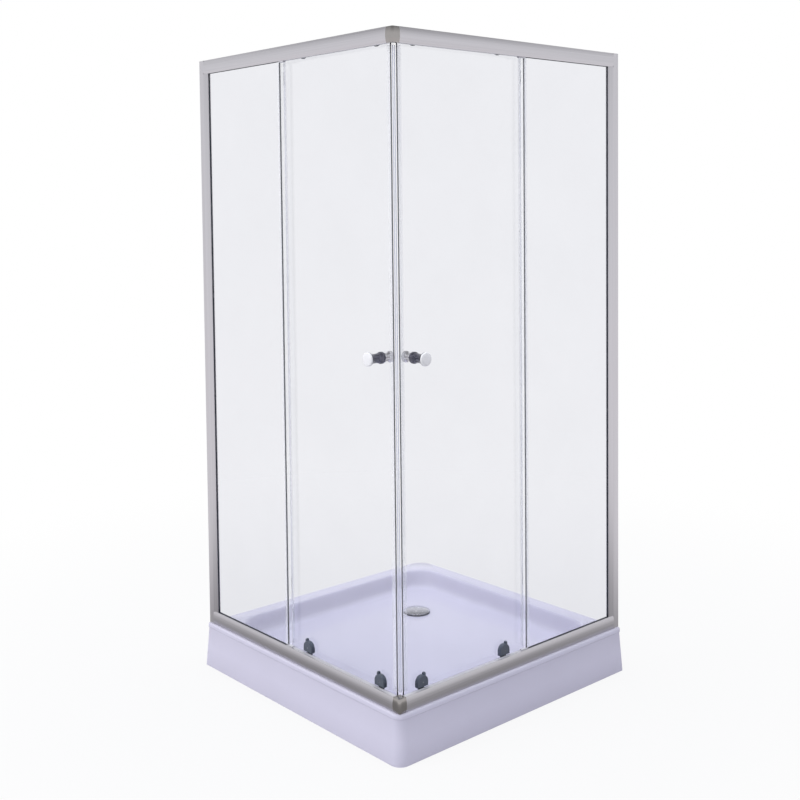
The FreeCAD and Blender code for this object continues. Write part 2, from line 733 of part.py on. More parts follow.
# ---------------------------------------------------------------- wall channels and stiles
wall_channel = new_body("left_wall_channel")
section = sketch(wall_channel, "XY_Plane")
low, high = channel_setback, channel_setback + channel_depth
loop(
    section,
    (0, low), (channel_width, low), (channel_width, low + channel_wall), (channel_wall, low + channel_wall),
    (channel_wall, high - channel_wall), (channel_width, high - channel_wall), (channel_width, high),
    (0, high),
)
extrude(wall_channel, section, enclosure_height, name="enclosure_height")
wall_holes = sketch(wall_channel, "YZ_Plane", channel_wall)
hole_depth = channel_setback + channel_depth / 2
for inset in (wall_hole_outer_inset, wall_hole_inner_inset):
    for height in (inset, enclosure_height - inset):
        circle(wall_holes, hole_depth, height, wall_hole_radius)
extrude(wall_channel, wall_holes, channel_wall, cut=True, name="channel_wall")
on_face(wall_channel)
both_faces(wall_channel)

stile = new_body("left_stile")
section = sketch(stile, "XY_Plane", rail_height)
stile_back = channel_width - stile_tuck
stile_low, stile_high = low + channel_wall + channel_gap, high - channel_wall - channel_gap
pocket_x = stile_reach - stile_pocket
inner_wall_x = pocket_x - rail_wall
nose_low = slot_outer_wall_depth + stile_nose_step
nose_middle_x = (rail_start + stile_reach) / 2
loop(
    section,
    (stile_back, stile_low), (rail_start, stile_low), (rail_start, rail_wall),
    (nose_middle_x, rail_wall + stile_nose_bulge, "arc"),
    (stile_reach, nose_low), (stile_reach, slot_outer), (pocket_x, slot_outer), (pocket_x, slot_inner),
    (stile_reach, slot_inner), (stile_reach, track_back), (inner_wall_x, track_back),
    (inner_wall_x, stile_high),
    (stile_back, stile_high),
)
rectangle(
    section,
    stile_back + rail_wall, stile_low + rail_wall, inner_wall_x - rail_wall, stile_high - rail_wall,
)
extrude(stile, section, stile_length, name="stile_length")
port = sketch(stile, "XY_Plane", rail_height)
half_port = screw_hole + port_wall
port_end = inner_wall_x - rail_wall / 2
rectangle(port, port_x - half_port, port_depth - half_port, port_end, port_depth + half_port)
rectangle(port, port_x - screw_hole, port_depth - screw_hole, port_x + screw_hole, port_depth + screw_hole)
extrude(stile, port, stile_length, name="stile_length")
on_face(stile)
both_faces(stile)


# ---------------------------------------------------------------- fixed glass, gaskets, seals and slot strips
def plate(name, x0, z0, x1, depth, height, height_name):
    """A pane of glass standing in the face frame, its outer side at a depth."""
    body = new_body(name)
    outline = sketch(body, "XY_Plane", z0)
    rectangle(outline, x0, depth, x1, depth + glass_thickness)
    extrude(body, outline, height, name=height_name)
    return on_face(body)


fixed_glass = plate(
    "left_fixed_glass", fixed_glass_start, glass_edge, fixed_glass_end, fixed_glass_depth,
    fixed_glass_height, "fixed_glass_height",
)
both_faces(fixed_glass)

lip_depth = rail_wall / 2
outer_strip = (slot_outer + gasket_gap, fixed_glass_depth - gasket_gap)
inner_strip = (fixed_glass_back + gasket_gap, slot_inner - gasket_gap)
rail_strips = new_body("rail_strips")
section = sketch(rail_strips, "YZ_Plane", stile_reach + gasket_lip + gasket_gap)
for near, far in (outer_strip, inner_strip):
    rectangle(section, near, rail_height - gasket_height, far, rail_height + gasket_lip)
extrude(rail_strips, section, fixed_glass_end - seal_grip - stile_reach - gasket_lip - gasket_end_gap)
on_face(rail_strips)
stile_strips = new_body("stile_strips")
section = sketch(stile_strips, "XY_Plane", rail_height)
for near, far in (outer_strip, inner_strip):
    rectangle(section, stile_reach - gasket_height + gasket_end_gap, near, stile_reach + gasket_lip, far)
extrude(stile_strips, section, stile_length, name="stile_length")
on_face(stile_strips)
left_gaskets = gather("left_gaskets", rail_strips, upside_down("rail_strips_top", rail_strips), stile_strips)
keep(gather("glazing_gaskets", left_gaskets, mirrored("right_gaskets", left_gaskets)))

fixed_seal = new_body("left_fixed_seal")
section = sketch(fixed_seal, "XY_Plane", rail_height + seal_end_gap)
seal_outer = fixed_glass_depth - seal_gap
seal_inner = fixed_glass_back + seal_gap
seal_start = fixed_glass_end - seal_grip
seal_end = fixed_glass_end + seal_gap + seal_wall
fin_tip = door_glass_depth - fin_gap
loop(
    section,
    (seal_start, seal_outer - seal_wall), (seal_end, seal_outer - seal_wall), (seal_end, fin_tip),
    (seal_end - seal_wall, fin_tip), (seal_end - seal_wall, seal_inner + seal_wall),
    (seal_start, seal_inner + seal_wall), (seal_start, seal_inner),
    (fixed_glass_end + seal_gap, seal_inner), (fixed_glass_end + seal_gap, seal_outer),
    (seal_start, seal_outer),
)
extrude(fixed_seal, section, enclosure_height - 2 * (rail_height + seal_end_gap))
notch = sketch(fixed_seal, "XY_Plane", rail_height)
notch_near = seal_inner + seal_wall + seal_gap
rectangle(notch, seal_start - overrun, notch_near, seal_end + overrun, door_glass_depth)
extrude(fixed_seal, notch, fin_notch, cut=True, reverse=True, name="fin_notch")
on_face(fixed_seal)
both_faces(fixed_seal)

slot_clip = new_body("slot_clip")
section = sketch(slot_clip, "YZ_Plane", seal_end + gasket_gap)
clip_low, clip_high = slot_outer + gasket_gap, slot_inner - gasket_gap
loop(
    section,
    (clip_low, glass_edge), (clip_high, glass_edge), (clip_high, rail_height + clip_height),
    (clip_low - clip_overhang, rail_height + clip_height),
    (clip_low - clip_overhang, rail_height + gasket_gap),
    (clip_low, rail_height + gasket_gap),
)
extrude(slot_clip, section, clip_length, name="clip_length")
on_face(slot_clip)
slot_strip = new_body("slot_strip")
strip_start = seal_end + gasket_gap + clip_length + gasket_gap
section = sketch(slot_strip, "YZ_Plane", strip_start)
loop(
    section,
    (clip_low, rail_height - gasket_height), (clip_low + rail_wall, rail_height - gasket_height),
    (clip_low + rail_wall, rail_height - rail_wall), (clip_high - rail_wall, rail_height - rail_wall),
    (clip_high - rail_wall, rail_height - gasket_height), (clip_high, rail_height - gasket_height),
    (clip_high, rail_height), (clip_low, rail_height),
)
extrude(slot_strip, section, rail_end - strip_start)
on_face(slot_strip)
left_strips = gather(
    "left_slot_strips",
    slot_clip, slot_strip, upside_down("slot_clip_top", slot_clip), upside_down("slot_strip_top", slot_strip),
)
keep(gather("slot_strips", left_strips, mirrored("right_slot_strips", left_strips)))

# ---------------------------------------------------------------- stops and frame screws
stop = new_body("stop_proto")
section = sketch(stop, "YZ_Plane")
stop_near, stop_far = track_back + seat_gap, rail_depth - rail_wall - seat_gap
rectangle(section, stop_near, rail_wall + seat_gap, stop_far, rib_tip - seat_gap)
extrude(stop, section, stop_length, name="stop_length")
stop_closed = link(stop, "stop_closed")
on_face(stop_closed, "roller_front_x + wheel_radius + stop_gap")
stop_open = link(stop, "stop_open")
on_face(stop_open, "roller_rear_x - door_travel - wheel_radius - stop_gap - stop_length")
left_stops = upside_down("left_stops", gather("left_stop_pair", stop_closed, stop_open))
keep(gather("rail_stops", left_stops, mirrored("right_stops", left_stops)))


screw_length = rail_height + stile_screw_grip
screw_head = rail_wall - running_clearance
screw_sides = 6
stile_screw = new_body("stile_screw")
stack(stile_screw, small_sides, (screw_head_radius, running_clearance), (screw_head_radius, screw_head))
stack(stile_screw, screw_sides, (screw_radius, screw_head), (screw_radius, screw_length))
place(
    stile_screw,
    "0 - wall_plane + stile_reach - stile_pocket - rail_wall - port_inset",
    "front_plane + slot_outer_wall_depth + rail_wall + slot_width / 2",
    "tray_height",
)
left_screws = gather("left_screws", stile_screw, upside_down("stile_screw_top", stile_screw))
keep(gather("frame_screws", left_screws, mirrored("right_screws", left_screws)))

# ---------------------------------------------------------------- doors
door_glass = plate(
    "left_door_glass", door_rear, door_edge_bottom, door_front, door_glass_depth,
    door_glass_height, "door_glass_height",
)
glass_holes = sketch(door_glass, "XZ_Plane", -door_glass_depth + overrun)
hub_height = enclosure_height - axle_height - hub_eccentricity
holes = [(knob_x, knob_height, knob_stud_radius)]
for x in (roller_front_x, roller_rear_x):
    holes += [(x, hub_height, hub_bush_radius), (x, boss_height, boss_radius)]
for x, z, radius in holes:
    polygon(glass_holes, x, z, around(radius + glass_hole_gap, small_sides), small_sides)
extrude(door_glass, glass_holes, glass_thickness + 2 * overrun, cut=True)
both_faces(door_glass)


def at_nose(middle, along, back):
    """A point on the leading seal: so far along its 45-degree face and so far behind it, as (X, depth)."""
    diagonal = math.sqrt(0.5)
    reach, depth = middle + (along + back) * diagonal, middle + (along - back) * diagonal
    return (enclosure_side - reach - nose_gap / 2, depth - nose_gap / 2)


grip_end = door_front - lead_seal_grip
seal_near = door_glass_depth - seal_gap
seal_far = door_glass_back + seal_gap
nose_middle = (seal_near + seal_far) / 2 + nose_lead
half_face = nose_face / 2
shoulder_x, heel_x = door_front + nose_shoulder, door_front - nose_heel
magnetic_seal = new_body("left_magnetic_seal")
section = sketch(magnetic_seal, "XY_Plane", rail_height + seal_end_gap)
loop(
    section,
    (grip_end, seal_near - seal_wall), (shoulder_x, seal_near - seal_wall),
    at_nose(nose_middle, -half_face, 0), at_nose(nose_middle, half_face, 0),
    (heel_x, seal_far + seal_wall), (grip_end, seal_far + seal_wall), (grip_end, seal_far),
    (door_front + seal_gap, seal_far), (door_front + seal_gap, seal_near), (grip_end, seal_near),
)
half_pocket = magnet_width / 2 + seal_gap
pocket_end = magnet_cover + magnet_thickness + 2 * seal_gap
loop(
    section,
    at_nose(nose_middle, -half_pocket, magnet_cover), at_nose(nose_middle, half_pocket, magnet_cover),
    at_nose(nose_middle, half_pocket, pocket_end), at_nose(nose_middle, -half_pocket, pocket_end),
)
door_seal_length = enclosure_height - 2 * (rail_height + seal_end_gap)
extrude(magnetic_seal, section, door_seal_length)
both_faces(on_face(magnetic_seal))
magnet = new_body("left_magnet_strip")
section = sketch(magnet, "XY_Plane", rail_height + 2 * seal_end_gap)
half_magnet = magnet_width / 2
magnet_near = magnet_cover + seal_gap
magnet_far = magnet_near + magnet_thickness
loop(
    section,
    at_nose(nose_middle, -half_magnet, magnet_near), at_nose(nose_middle, half_magnet, magnet_near),
    at_nose(nose_middle, half_magnet, magnet_far), at_nose(nose_middle, -half_magnet, magnet_far),
)
extrude(magnet, section, door_seal_length - 2 * seal_end_gap)
both_faces(on_face(magnet))

trailing_seal = new_body("left_trailing_seal")
section = sketch(trailing_seal, "XY_Plane", rail_height + seal_end_gap)
tail = door_rear - seal_gap - seal_wall
tail_fin = fixed_glass_back + seal_gap + seal_wall + fin_gap
tail_grip_end = min(door_rear + seal_grip, seal_end - seal_wall - fin_gap)
loop(
    section,
    (tail, tail_fin), (tail + seal_wall, tail_fin), (tail + seal_wall, seal_near - seal_wall),
    (tail_grip_end, seal_near - seal_wall), (tail_grip_end, seal_near), (door_rear - seal_gap, seal_near),
    (door_rear - seal_gap, seal_far), (tail_grip_end, seal_far), (tail_grip_end, seal_far + seal_wall),
    (tail, seal_far + seal_wall),
)
extrude(trailing_seal, section, door_seal_length)
both_faces(on_face(trailing_seal))

# ---------------------------------------------------------------- wheels
flank = (rib_half_width - rib_tip_half_width) / rib_height
groove_half = rib_half_width + groove_clearance + flank * wheel_rim
mid = rib_depth
groove_root = wheel_running_radius
root_half = rib_tip_half_width + groove_clearance
bore = around(axle_radius, small_sides) + running_clearance
wheel = new_body("wheel_proto")
stack(
    wheel, medium_sides,
    (wheel_radius, wheel_front), (wheel_radius, mid - groove_half),
    (groove_root, mid - root_half), (groove_root, mid + root_half),
    (wheel_radius, mid + groove_half), (wheel_radius, wheel_back),
)
stack(wheel, small_sides, (bore, wheel_front - overrun), (bore, wheel_back + overrun), cut=True)


def at_rollers(label, source, height, turn=None):
    """One node per roller: number 1 near the corner, number 2 towards the wall."""
    for number, x in ((1, "roller_front_x"), (2, "roller_rear_x")):
        copy = link(source, "%s_%d_link" % (label, number))
        on_face(copy, x, height, turn)
        both_faces(gather("%s_%d" % (label, number), copy))


at_rollers("left_top_wheel", wheel, "enclosure_height - axle_height", along_depth)
at_rollers("left_bottom_wheel", wheel, "axle_height", along_depth)


# ---------------------------------------------------------------- eccentric hubs of the top wheels
head_back = wheel_front - wheel_side_gap
flange_back = door_glass_depth - seat_gap
flange_front = wheel_back + wheel_side_gap
cap_front = door_glass_back + seat_gap
axle_part = new_body("hub_axle")
stack(axle_part, small_sides, (axle_head_radius, head_back - axle_head_height), (axle_head_radius, head_back))
axle_round = sketch(axle_part, "XY_Plane", head_back)
circle(axle_round, 0, 0, axle_radius)
extrude(axle_part, axle_round, flange_front + weld_depth - head_back)
bush_part = new_body("hub_bush")
stack(bush_part, small_sides, (hub_flange_radius, flange_front), (hub_flange_radius, flange_back))
stack(bush_part, small_sides, (hub_bush_radius, flange_back), (hub_bush_radius, door_glass_back))
cap_part = new_body("hub_cap")
stack(
    cap_part, medium_sides,
    (hub_cap_radius, cap_front), (hub_cap_radius, cap_front + hub_cap_rim_height),
    (hub_cap_crown_radius, cap_front + hub_cap_height),
)
on_face(axle_part, "0", "enclosure_height - axle_height", along_depth)
on_face(bush_part, "0", "enclosure_height - axle_height - hub_eccentricity", along_depth)
on_face(cap_part, "0", "enclosure_height - axle_height - hub_eccentricity", along_depth)
hub_solid = combine("Part::Fuse", "hub_solid", axle_part, bush_part)
top_mounts = []
for number, x in ((1, "roller_front_x"), (2, "roller_rear_x")):
    for source in (hub_solid, cap_part):
        copy = link(source, "top_mount_%s_%d" % (source.Name, number))
        copy.LinkTransform = True
        copy.setExpression("Placement.Base.x", expression(x))
        top_mounts.append(copy)
both_faces(gather("left_top_roller_mounts", *top_mounts))

# ---------------------------------------------------------------- quick-release lower rollers
housing = new_body("housing_proto")
dome_centre = housing_bottom + housing_height - housing_half_width
wall_face = door_glass_depth - seat_gap
outline = sketch(housing, "XZ_Plane", -wall_face)
loop(
    outline,
    (-housing_half_width, housing_bottom), (housing_half_width, housing_bottom),
    (housing_half_width, dome_centre),
    (0, dome_centre + housing_half_width, "arc"), (-housing_half_width, dome_centre),
)
extrude(housing, outline, wall_face - housing_front_depth)
cavity = sketch(housing, "XZ_Plane", -wall_face)
rectangle(cavity, -cavity_half_width, housing_bottom + housing_floor, cavity_half_width, cavity_top)
cavity_front = housing_front_depth + housing_wall
extrude(housing, cavity, wall_face - cavity_front, cut=True, reverse=True)
arm_slot = sketch(housing, "XY_Plane", housing_bottom)
arm_room = arm_half_width + slide_gap
rectangle(arm_slot, -arm_room, arm_front - slide_gap, arm_room, wall_face + overrun)
extrude(housing, arm_slot, housing_floor, cut=True, reverse=True, name="housing_floor")
head_front = cavity_front + slide_gap
nub_depth = (head_front + arm_back) / 2
nub_hole = sketch(housing, "XY_Plane", cavity_top - overrun)
nub_room = nub_half_width + slide_gap
nub_back = arm_back + slide_gap
rectangle(nub_hole, -nub_offset - nub_room, head_front - slide_gap, -nub_offset + nub_room, nub_back)
extrude(housing, nub_hole, housing_height, cut=True, reverse=True)
boss = sketch(housing, "XZ_Plane", -cavity_front + housing_wall / 2)
polygon(boss, 0, boss_height, boss_radius, small_sides)
extrude(housing, boss, door_glass_back - cavity_front + housing_wall / 2, reverse=True)
housing_cap = new_body("housing_cap")
cap_crown = cap_front + housing_cap_height
stack(housing_cap, small_sides, (housing_cap_radius, cap_front), (housing_cap_crown_radius, cap_crown))
housings = []
for number, x in ((1, "roller_front_x"), (2, "roller_rear_x")):
    housings.append(on_face(link(housing, "housing_%d" % number), x))
    housings.append(on_face(link(housing_cap, "housing_cap_%d" % number), x, "boss_height", along_depth))
both_faces(gather("left_roller_housings", *housings))

slider = new_body("slider_proto")
arm = sketch(slider, "XZ_Plane", -arm_back)
head_top = cavity_top - running_clearance
head_under = head_top - head_thickness
head_middle = (head_top + head_under) / 2
window_low = boss_height - boss_radius - slide_gap
shoulder = housing_bottom - release_travel - slide_gap
loop(
    arm,
    (-arm_foot_radius, axle_height), (0, axle_height - arm_foot_radius, "arc"),
    (arm_foot_radius, axle_height),
    (arm_foot_radius, shoulder - arm_half_width), (arm_half_width, shoulder), (arm_half_width, head_middle),
    (-arm_half_width, head_middle), (-arm_half_width, shoulder),
    (-arm_foot_radius, shoulder - arm_half_width),
)
window_half = boss_radius + slide_gap
rectangle(arm, -window_half, window_low, window_half, head_under)
extrude(slider, arm, arm_thickness, name="arm_thickness")
head = sketch(slider, "XY_Plane", head_under)
head_half = cavity_half_width - slide_gap * 2
rectangle(head, -head_half, head_front, head_half, arm_back)
extrude(slider, head, head_thickness, name="head_thickness")
nub = sketch(slider, "XY_Plane", head_under)
rectangle(nub, -nub_offset - nub_half_width, head_front, -nub_offset + nub_half_width, arm_back)
extrude(slider, nub, nub_top - head_under)
for radius, near, far in (
    (axle_radius, head_back, arm_front + overrun),
    (axle_head_radius, head_back - axle_head_height, head_back),
):
    axle_tier = sketch(slider, "XZ_Plane", -far)
    polygon(axle_tier, 0, axle_height, radius, small_sides)
    extrude(slider, axle_tier, far - near)
at_rollers("left_release_slider", slider, "0")

spring = new_body("spring_proto")
waves = int(spring_waves)
spring_low = housing_bottom + housing_floor + running_clearance
wave_rise = (head_under - spring_low - running_clearance) / waves
lean = spring_strip * math.hypot(wave_rise, 2 * spring_half_width) / wave_rise / 2
zigzag = []
for turn in range(waves + 1):
    zigzag.append(((spring_half_width - lean) * (1 if turn % 2 else -1), spring_low + wave_rise * turn))
wave = sketch(spring, "XZ_Plane", -spring_half_width)
loop(wave, *[(x + lean, z) for x, z in zigzag], *[(x - lean, z) for x, z in reversed(zigzag)])
extrude(spring, wave, 2 * spring_half_width)
for number, x in ((1, "roller_front_x"), (2, "roller_rear_x")):
    copy = link(spring, "left_release_spring_%d_link" % number)
    place(
        copy,
        "0 - wall_plane + " + x + " + spring_offset",
        "front_plane + spring_depth",
        "tray_height",
    )
    both_faces(gather("left_release_spring_%d" % number, copy))
doc.recompute()

# ---------------------------------------------------------------- knobs
knob_face = door_glass_depth - seat_gap / 2
knob_end = door_glass_depth - outer_knob_length
cap_face = knob_end + knob_cap_thickness
stud_room = knob_face - knob_stud_reach - overrun
socket = around(knob_stud_radius, small_sides) + running_clearance
waist = (knob_end + knob_face) / 2
outer_knob = new_body("left_outer_knob")
stack(
    outer_knob, medium_sides,
    (outer_knob_radius - knob_edge, knob_end), (outer_knob_radius, knob_end + knob_edge),
    (outer_knob_radius, knob_end + knob_disc_thickness),
    (knob_waist_radius + knob_edge, waist - knob_neck_half),
    (knob_waist_radius, waist), (knob_waist_radius + knob_edge / 2, waist + knob_neck_half),
    (knob_base_radius, knob_face - knob_base_rim), (knob_base_radius, knob_face),
)
stack(outer_knob, medium_sides, (knob_cap_radius, knob_end - overrun), (knob_cap_radius, cap_face), cut=True)
stack(outer_knob, small_sides, (socket, stud_room), (socket, knob_face + overrun), cut=True)
both_faces(on_face(outer_knob, "knob_x", "knob_height", along_depth))
cap_rim = knob_cap_radius - running_clearance
knob_cap = new_body("left_knob_cap")
stack(knob_cap, medium_sides, (cap_rim, knob_end), (cap_rim, cap_face - running_clearance))
both_faces(on_face(knob_cap, "knob_x", "knob_height", along_depth))
inner_face = door_glass_back + seat_gap / 2
inner_end = inner_face + inner_knob_length
inner_knob = new_body("left_inner_knob")
stack(
    inner_knob, medium_sides,
    (knob_base_radius - 2 * knob_edge, inner_face),
    (knob_waist_radius - knob_edge, (inner_face + inner_end) / 2 - knob_edge),
    (inner_knob_radius, inner_end - inner_knob_disc), (inner_knob_radius, inner_end - knob_edge),
    (inner_knob_radius - knob_edge, inner_end),
)
stud_end = knob_face - knob_stud_reach
stack(inner_knob, small_sides, (knob_stud_radius, stud_end), (knob_stud_radius, inner_face))
both_faces(on_face(inner_knob, "knob_x", "knob_height", along_depth))

# ---------------------------------------------------------------- check and write out
doc.recompute()
total = 0
for item in nodes:
    shape = item.Shape
    if item.State and ("Invalid" in item.State or "Error" in item.State):
        raise RuntimeError(item.Label + " did not build")
    if shape.isNull() or not shape.isValid() or not shape.Solids:
        raise RuntimeError(item.Label + " has no sound solid")
    shape.exportStep("parts/" + item.Label + ".step")
    total += len(shape.Solids)
for item in doc.Objects:
    if "Invalid" in item.State or "Error" in item.State:
        raise RuntimeError(item.Label + " did not build")
print("nodes", len(nodes), "solids", total)
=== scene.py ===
import json
import math

import bmesh
import bpy
from mathutils import Matrix, Vector


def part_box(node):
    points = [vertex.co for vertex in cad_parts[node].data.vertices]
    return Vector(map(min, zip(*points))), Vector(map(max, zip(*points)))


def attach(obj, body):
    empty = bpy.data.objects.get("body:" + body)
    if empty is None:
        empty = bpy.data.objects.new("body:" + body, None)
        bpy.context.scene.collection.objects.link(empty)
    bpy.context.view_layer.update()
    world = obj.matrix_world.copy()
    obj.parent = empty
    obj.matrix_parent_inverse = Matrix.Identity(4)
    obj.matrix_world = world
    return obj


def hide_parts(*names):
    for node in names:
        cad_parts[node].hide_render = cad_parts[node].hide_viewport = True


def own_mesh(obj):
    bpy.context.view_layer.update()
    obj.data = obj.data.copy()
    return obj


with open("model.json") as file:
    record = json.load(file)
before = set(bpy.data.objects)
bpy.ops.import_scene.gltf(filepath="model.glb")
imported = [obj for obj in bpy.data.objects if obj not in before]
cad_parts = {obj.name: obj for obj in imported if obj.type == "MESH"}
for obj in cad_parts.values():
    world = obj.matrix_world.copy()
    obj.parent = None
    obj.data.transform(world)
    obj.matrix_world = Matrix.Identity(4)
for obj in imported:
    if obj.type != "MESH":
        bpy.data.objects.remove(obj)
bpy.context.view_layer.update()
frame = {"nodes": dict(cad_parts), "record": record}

nodes = frame["nodes"]
MM = 0.001

# ---------------------------------------------------------------- places read from the frame
channel_low, channel_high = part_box("left_wall_channel")
rail_low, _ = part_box("left_bottom_rail")
tray_low, tray_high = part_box("tray")
WALL = channel_low.x
FRONT = rail_low.y
RIM = channel_low.z
HEIGHT = channel_high.z - RIM
SIDE = -WALL - FRONT
TRAY = tray_high.x - tray_low.x
FACES = ("left", "right")


def face_matrix(face):
    """From face coordinates in metres (X from the wall, Y into the cabin, Z from the tray rim) to the frame."""
    left = Matrix.Translation((WALL, FRONT, RIM))
    swap = Matrix(((0, -1, 0, 0), (-1, 0, 0, 0), (0, 0, 1, 0), (0, 0, 0, 1)))
    return left if face == "left" else swap @ left


# ---------------------------------------------------------------- materials
COAT_ROUGHNESS, DRIFT_ROUGHNESS = 0.05, 0.55
RAMP_LOW, RAMP_HIGH = 0.3, 0.7
BUMP_METRES = 0.0004
DRAWN_ALONG, DRAWN_ACROSS = 1.2, 420.0


def node(tree, kind, **values):
    """A new shader node; each value goes to the input of that name, or else to the node's own setting."""
    made = tree.nodes.new(kind)
    for key, value in values.items():
        if key in made.inputs:
            made.inputs[key].default_value = value
        else:
            setattr(made, key, value)
    return made


def shade(color, amount):
    """A colour made lighter or darker, with full alpha."""
    return tuple(min(1.0, max(0.0, c * amount)) for c in color[:3]) + (1.0,)


def mixed(tree, share, first, second):
    """Two shaders mixed by a share."""
    blend = node(tree, "ShaderNodeMixShader")
    tree.links.new(share, blend.inputs["Fac"])
    tree.links.new(first, blend.inputs[1])
    tree.links.new(second, blend.inputs[2])
    return blend.outputs["Shader"]


def material(name, color, rough, metal=0.0, tone=0.04, rough_spread=0.06, grain=(40, 40, 40), bump=0.0,
             bump_grain=900.0, coat=0.0, ior=1.5, detail=3.0):
    """A procedural finish: slow colour and roughness drift over a base colour, with a fine surface bump."""
    made = bpy.data.materials.new(name)
    made.use_nodes = True
    tree = made.node_tree
    shader = tree.nodes["Principled BSDF"]
    shader.inputs["Metallic"].default_value = metal
    shader.inputs["IOR"].default_value = ior
    shader.inputs["Coat Weight"].default_value = coat
    shader.inputs["Coat Roughness"].default_value = COAT_ROUGHNESS
    place = node(tree, "ShaderNodeTexCoord")
    spread = node(tree, "ShaderNodeMapping", Scale=grain)
    tree.links.new(place.outputs["Object"], spread.inputs["Vector"])
    noise = node(tree, "ShaderNodeTexNoise", Scale=1.0, Detail=detail, Roughness=DRIFT_ROUGHNESS)
    tree.links.new(spread.outputs["Vector"], noise.inputs["Vector"])
    ramp = node(tree, "ShaderNodeValToRGB")
    low, high = ramp.color_ramp.elements
    low.position, high.position = RAMP_LOW, RAMP_HIGH
    low.color, high.color = shade(color, 1 - tone), shade(color, 1 + tone)
    tree.links.new(noise.outputs["Fac"], ramp.inputs["Fac"])
    tree.links.new(ramp.outputs["Color"], shader.inputs["Base Color"])
    gloss = node(tree, "ShaderNodeMapRange")
    gloss.inputs["To Min"].default_value = max(0.0, rough - rough_spread)
    gloss.inputs["To Max"].default_value = min(1.0, rough + rough_spread)
    tree.links.new(noise.outputs["Fac"], gloss.inputs["Value"])
    tree.links.new(gloss.outputs["Result"], shader.inputs["Roughness"])
    if bump:
        fine = node(tree, "ShaderNodeTexNoise", Scale=bump_grain, Detail=2.0)
        tree.links.new(place.outputs["Object"], fine.inputs["Vector"])
        relief = node(tree, "ShaderNodeBump", Strength=bump, Distance=BUMP_METRES)
        tree.links.new(fine.outputs["Fac"], relief.inputs["Height"])
        tree.links.new(relief.outputs["Normal"], shader.inputs["Normal"])
    return made


def satin(name, along):
    """Satin anodised aluminium with faint drawn lines along one axis."""
    grain = tuple(DRAWN_ALONG if axis == along else DRAWN_ACROSS for axis in "xyz")
    return material(name, (0.60, 0.59, 0.612), 0.34, metal=1.0, tone=0.07, rough_spread=0.07, grain=grain,
                    bump=0.08, bump_grain=1400.0)


def clear(name, color, rough=0.0, ior=1.5, haze=0.0):
    """See-through material that lets lamp light past; haze mixes in a little of its own colour."""
    made = material(name, color, rough, tone=0.01, rough_spread=0.0, grain=(6, 6, 6), ior=ior)
    tree = made.node_tree
    shader = tree.nodes["Principled BSDF"]
    shader.inputs["Transmission Weight"].default_value = 1.0 - haze
    path = node(tree, "ShaderNodeLightPath")
    either = node(tree, "ShaderNodeMath", operation="MAXIMUM")
    tree.links.new(path.outputs["Is Shadow Ray"], either.inputs[0])
    tree.links.new(path.outputs["Is Diffuse Ray"], either.inputs[1])
    straight = node(tree, "ShaderNodeBsdfTransparent", Color=shade(color, 1.0))
    whole = mixed(tree, either.outputs["Value"], shader.outputs["BSDF"], straight.outputs["BSDF"])
    tree.links.new(whole, tree.nodes["Material Output"].inputs["Surface"])
    return made


ACRYLIC = material("acrylic_white", (0.66, 0.64, 0.76), 0.16, tone=0.015, rough_spread=0.03, grain=(5, 5, 5),
                   bump=0.015, bump_grain=220.0, coat=0.35)
SATIN = {axis: satin("satin_aluminium_" + axis, axis) for axis in "xyz"}
STRIP = material("anodised_strip", (0.62, 0.61, 0.64), 0.55, metal=0.3, tone=0.05, grain=(60, 60, 60), bump=0.1)
COVER_CHROME = material("cover_chrome", (0.80, 0.81, 0.85), 0.24, metal=1.0, tone=0.16, rough_spread=0.1,
                        grain=(150, 150, 150))
# dark chrome for the drain flange: painted shade, standing for the shadow in the gap under the cover
PAINTED_SHADE_CHROME = material("painted_shade_chrome", (0.20, 0.21, 0.26), 0.2, metal=1.0, tone=0.06, grain=(90, 90, 90))
CHROME = material("chrome", (0.72, 0.71, 0.71), 0.06, metal=1.0, tone=0.02, rough_spread=0.03,
                  grain=(90, 90, 90))
# darkened brownish base colour for the chrome plastic: painted reflection, standing for dark surroundings mirrored
# in the corner connectors
CHROME_PLASTIC_PAINTED_REFLECTION = material("chrome_plastic", (0.37, 0.355, 0.34), 0.10, metal=1.0, tone=0.03, rough_spread=0.03,
                          grain=(60, 60, 60))
# dark base colour for the outer knob's chrome: painted reflection, standing for dark surroundings mirrored in it
KNOB_PAINTED_REFLECTION = material("knob_chrome_painted_reflection", (0.15, 0.15, 0.18), 0.13, metal=1.0, tone=0.08, rough_spread=0.05,
                grain=(120, 120, 120))
GLASS = clear("safety_glass", (0.84, 0.845, 0.88))
SEAL = clear("clear_seal", (0.99, 0.993, 1.0), rough=0.06, ior=1.035, haze=0.10)
MAGNET = material("magnet_strip", (0.44, 0.46, 0.60), 0.55, tone=0.1, grain=(30, 30, 200), bump=0.1)
GASKET = material("gasket_rubber", (0.05, 0.055, 0.07), 0.5, tone=0.12, grain=(60, 60, 60), bump=0.15,
                  bump_grain=1200.0)
SLATE = material("slate_plastic", (0.085, 0.10, 0.13), 0.38, tone=0.1, grain=(160, 160, 160), bump=0.12,
                 bump_grain=2400.0)
ACETAL = material("acetal_white", (0.72, 0.72, 0.70), 0.32, tone=0.04, grain=(200, 200, 200), bump=0.05,
                  bump_grain=2000.0)
WHITE = material("white_plastic", (0.84, 0.84, 0.85), 0.2, tone=0.02, grain=(60, 60, 60), bump=0.03,
                 bump_grain=1500.0, coat=0.2)
BLACK = material("black_plastic", (0.025, 0.026, 0.028), 0.45, tone=0.15, grain=(90, 90, 90), bump=0.15,
                 bump_grain=1500.0)
ZINC = material("zinc_steel", (0.55, 0.56, 0.58), 0.28, metal=1.0, tone=0.1, rough_spread=0.1,
                grain=(120, 120, 120), bump=0.1)
BOARD = material("support_board", (0.42, 0.30, 0.17), 0.8, tone=0.3, grain=(22, 90, 60), bump=0.5,
                 bump_grain=700.0, detail=8.0)

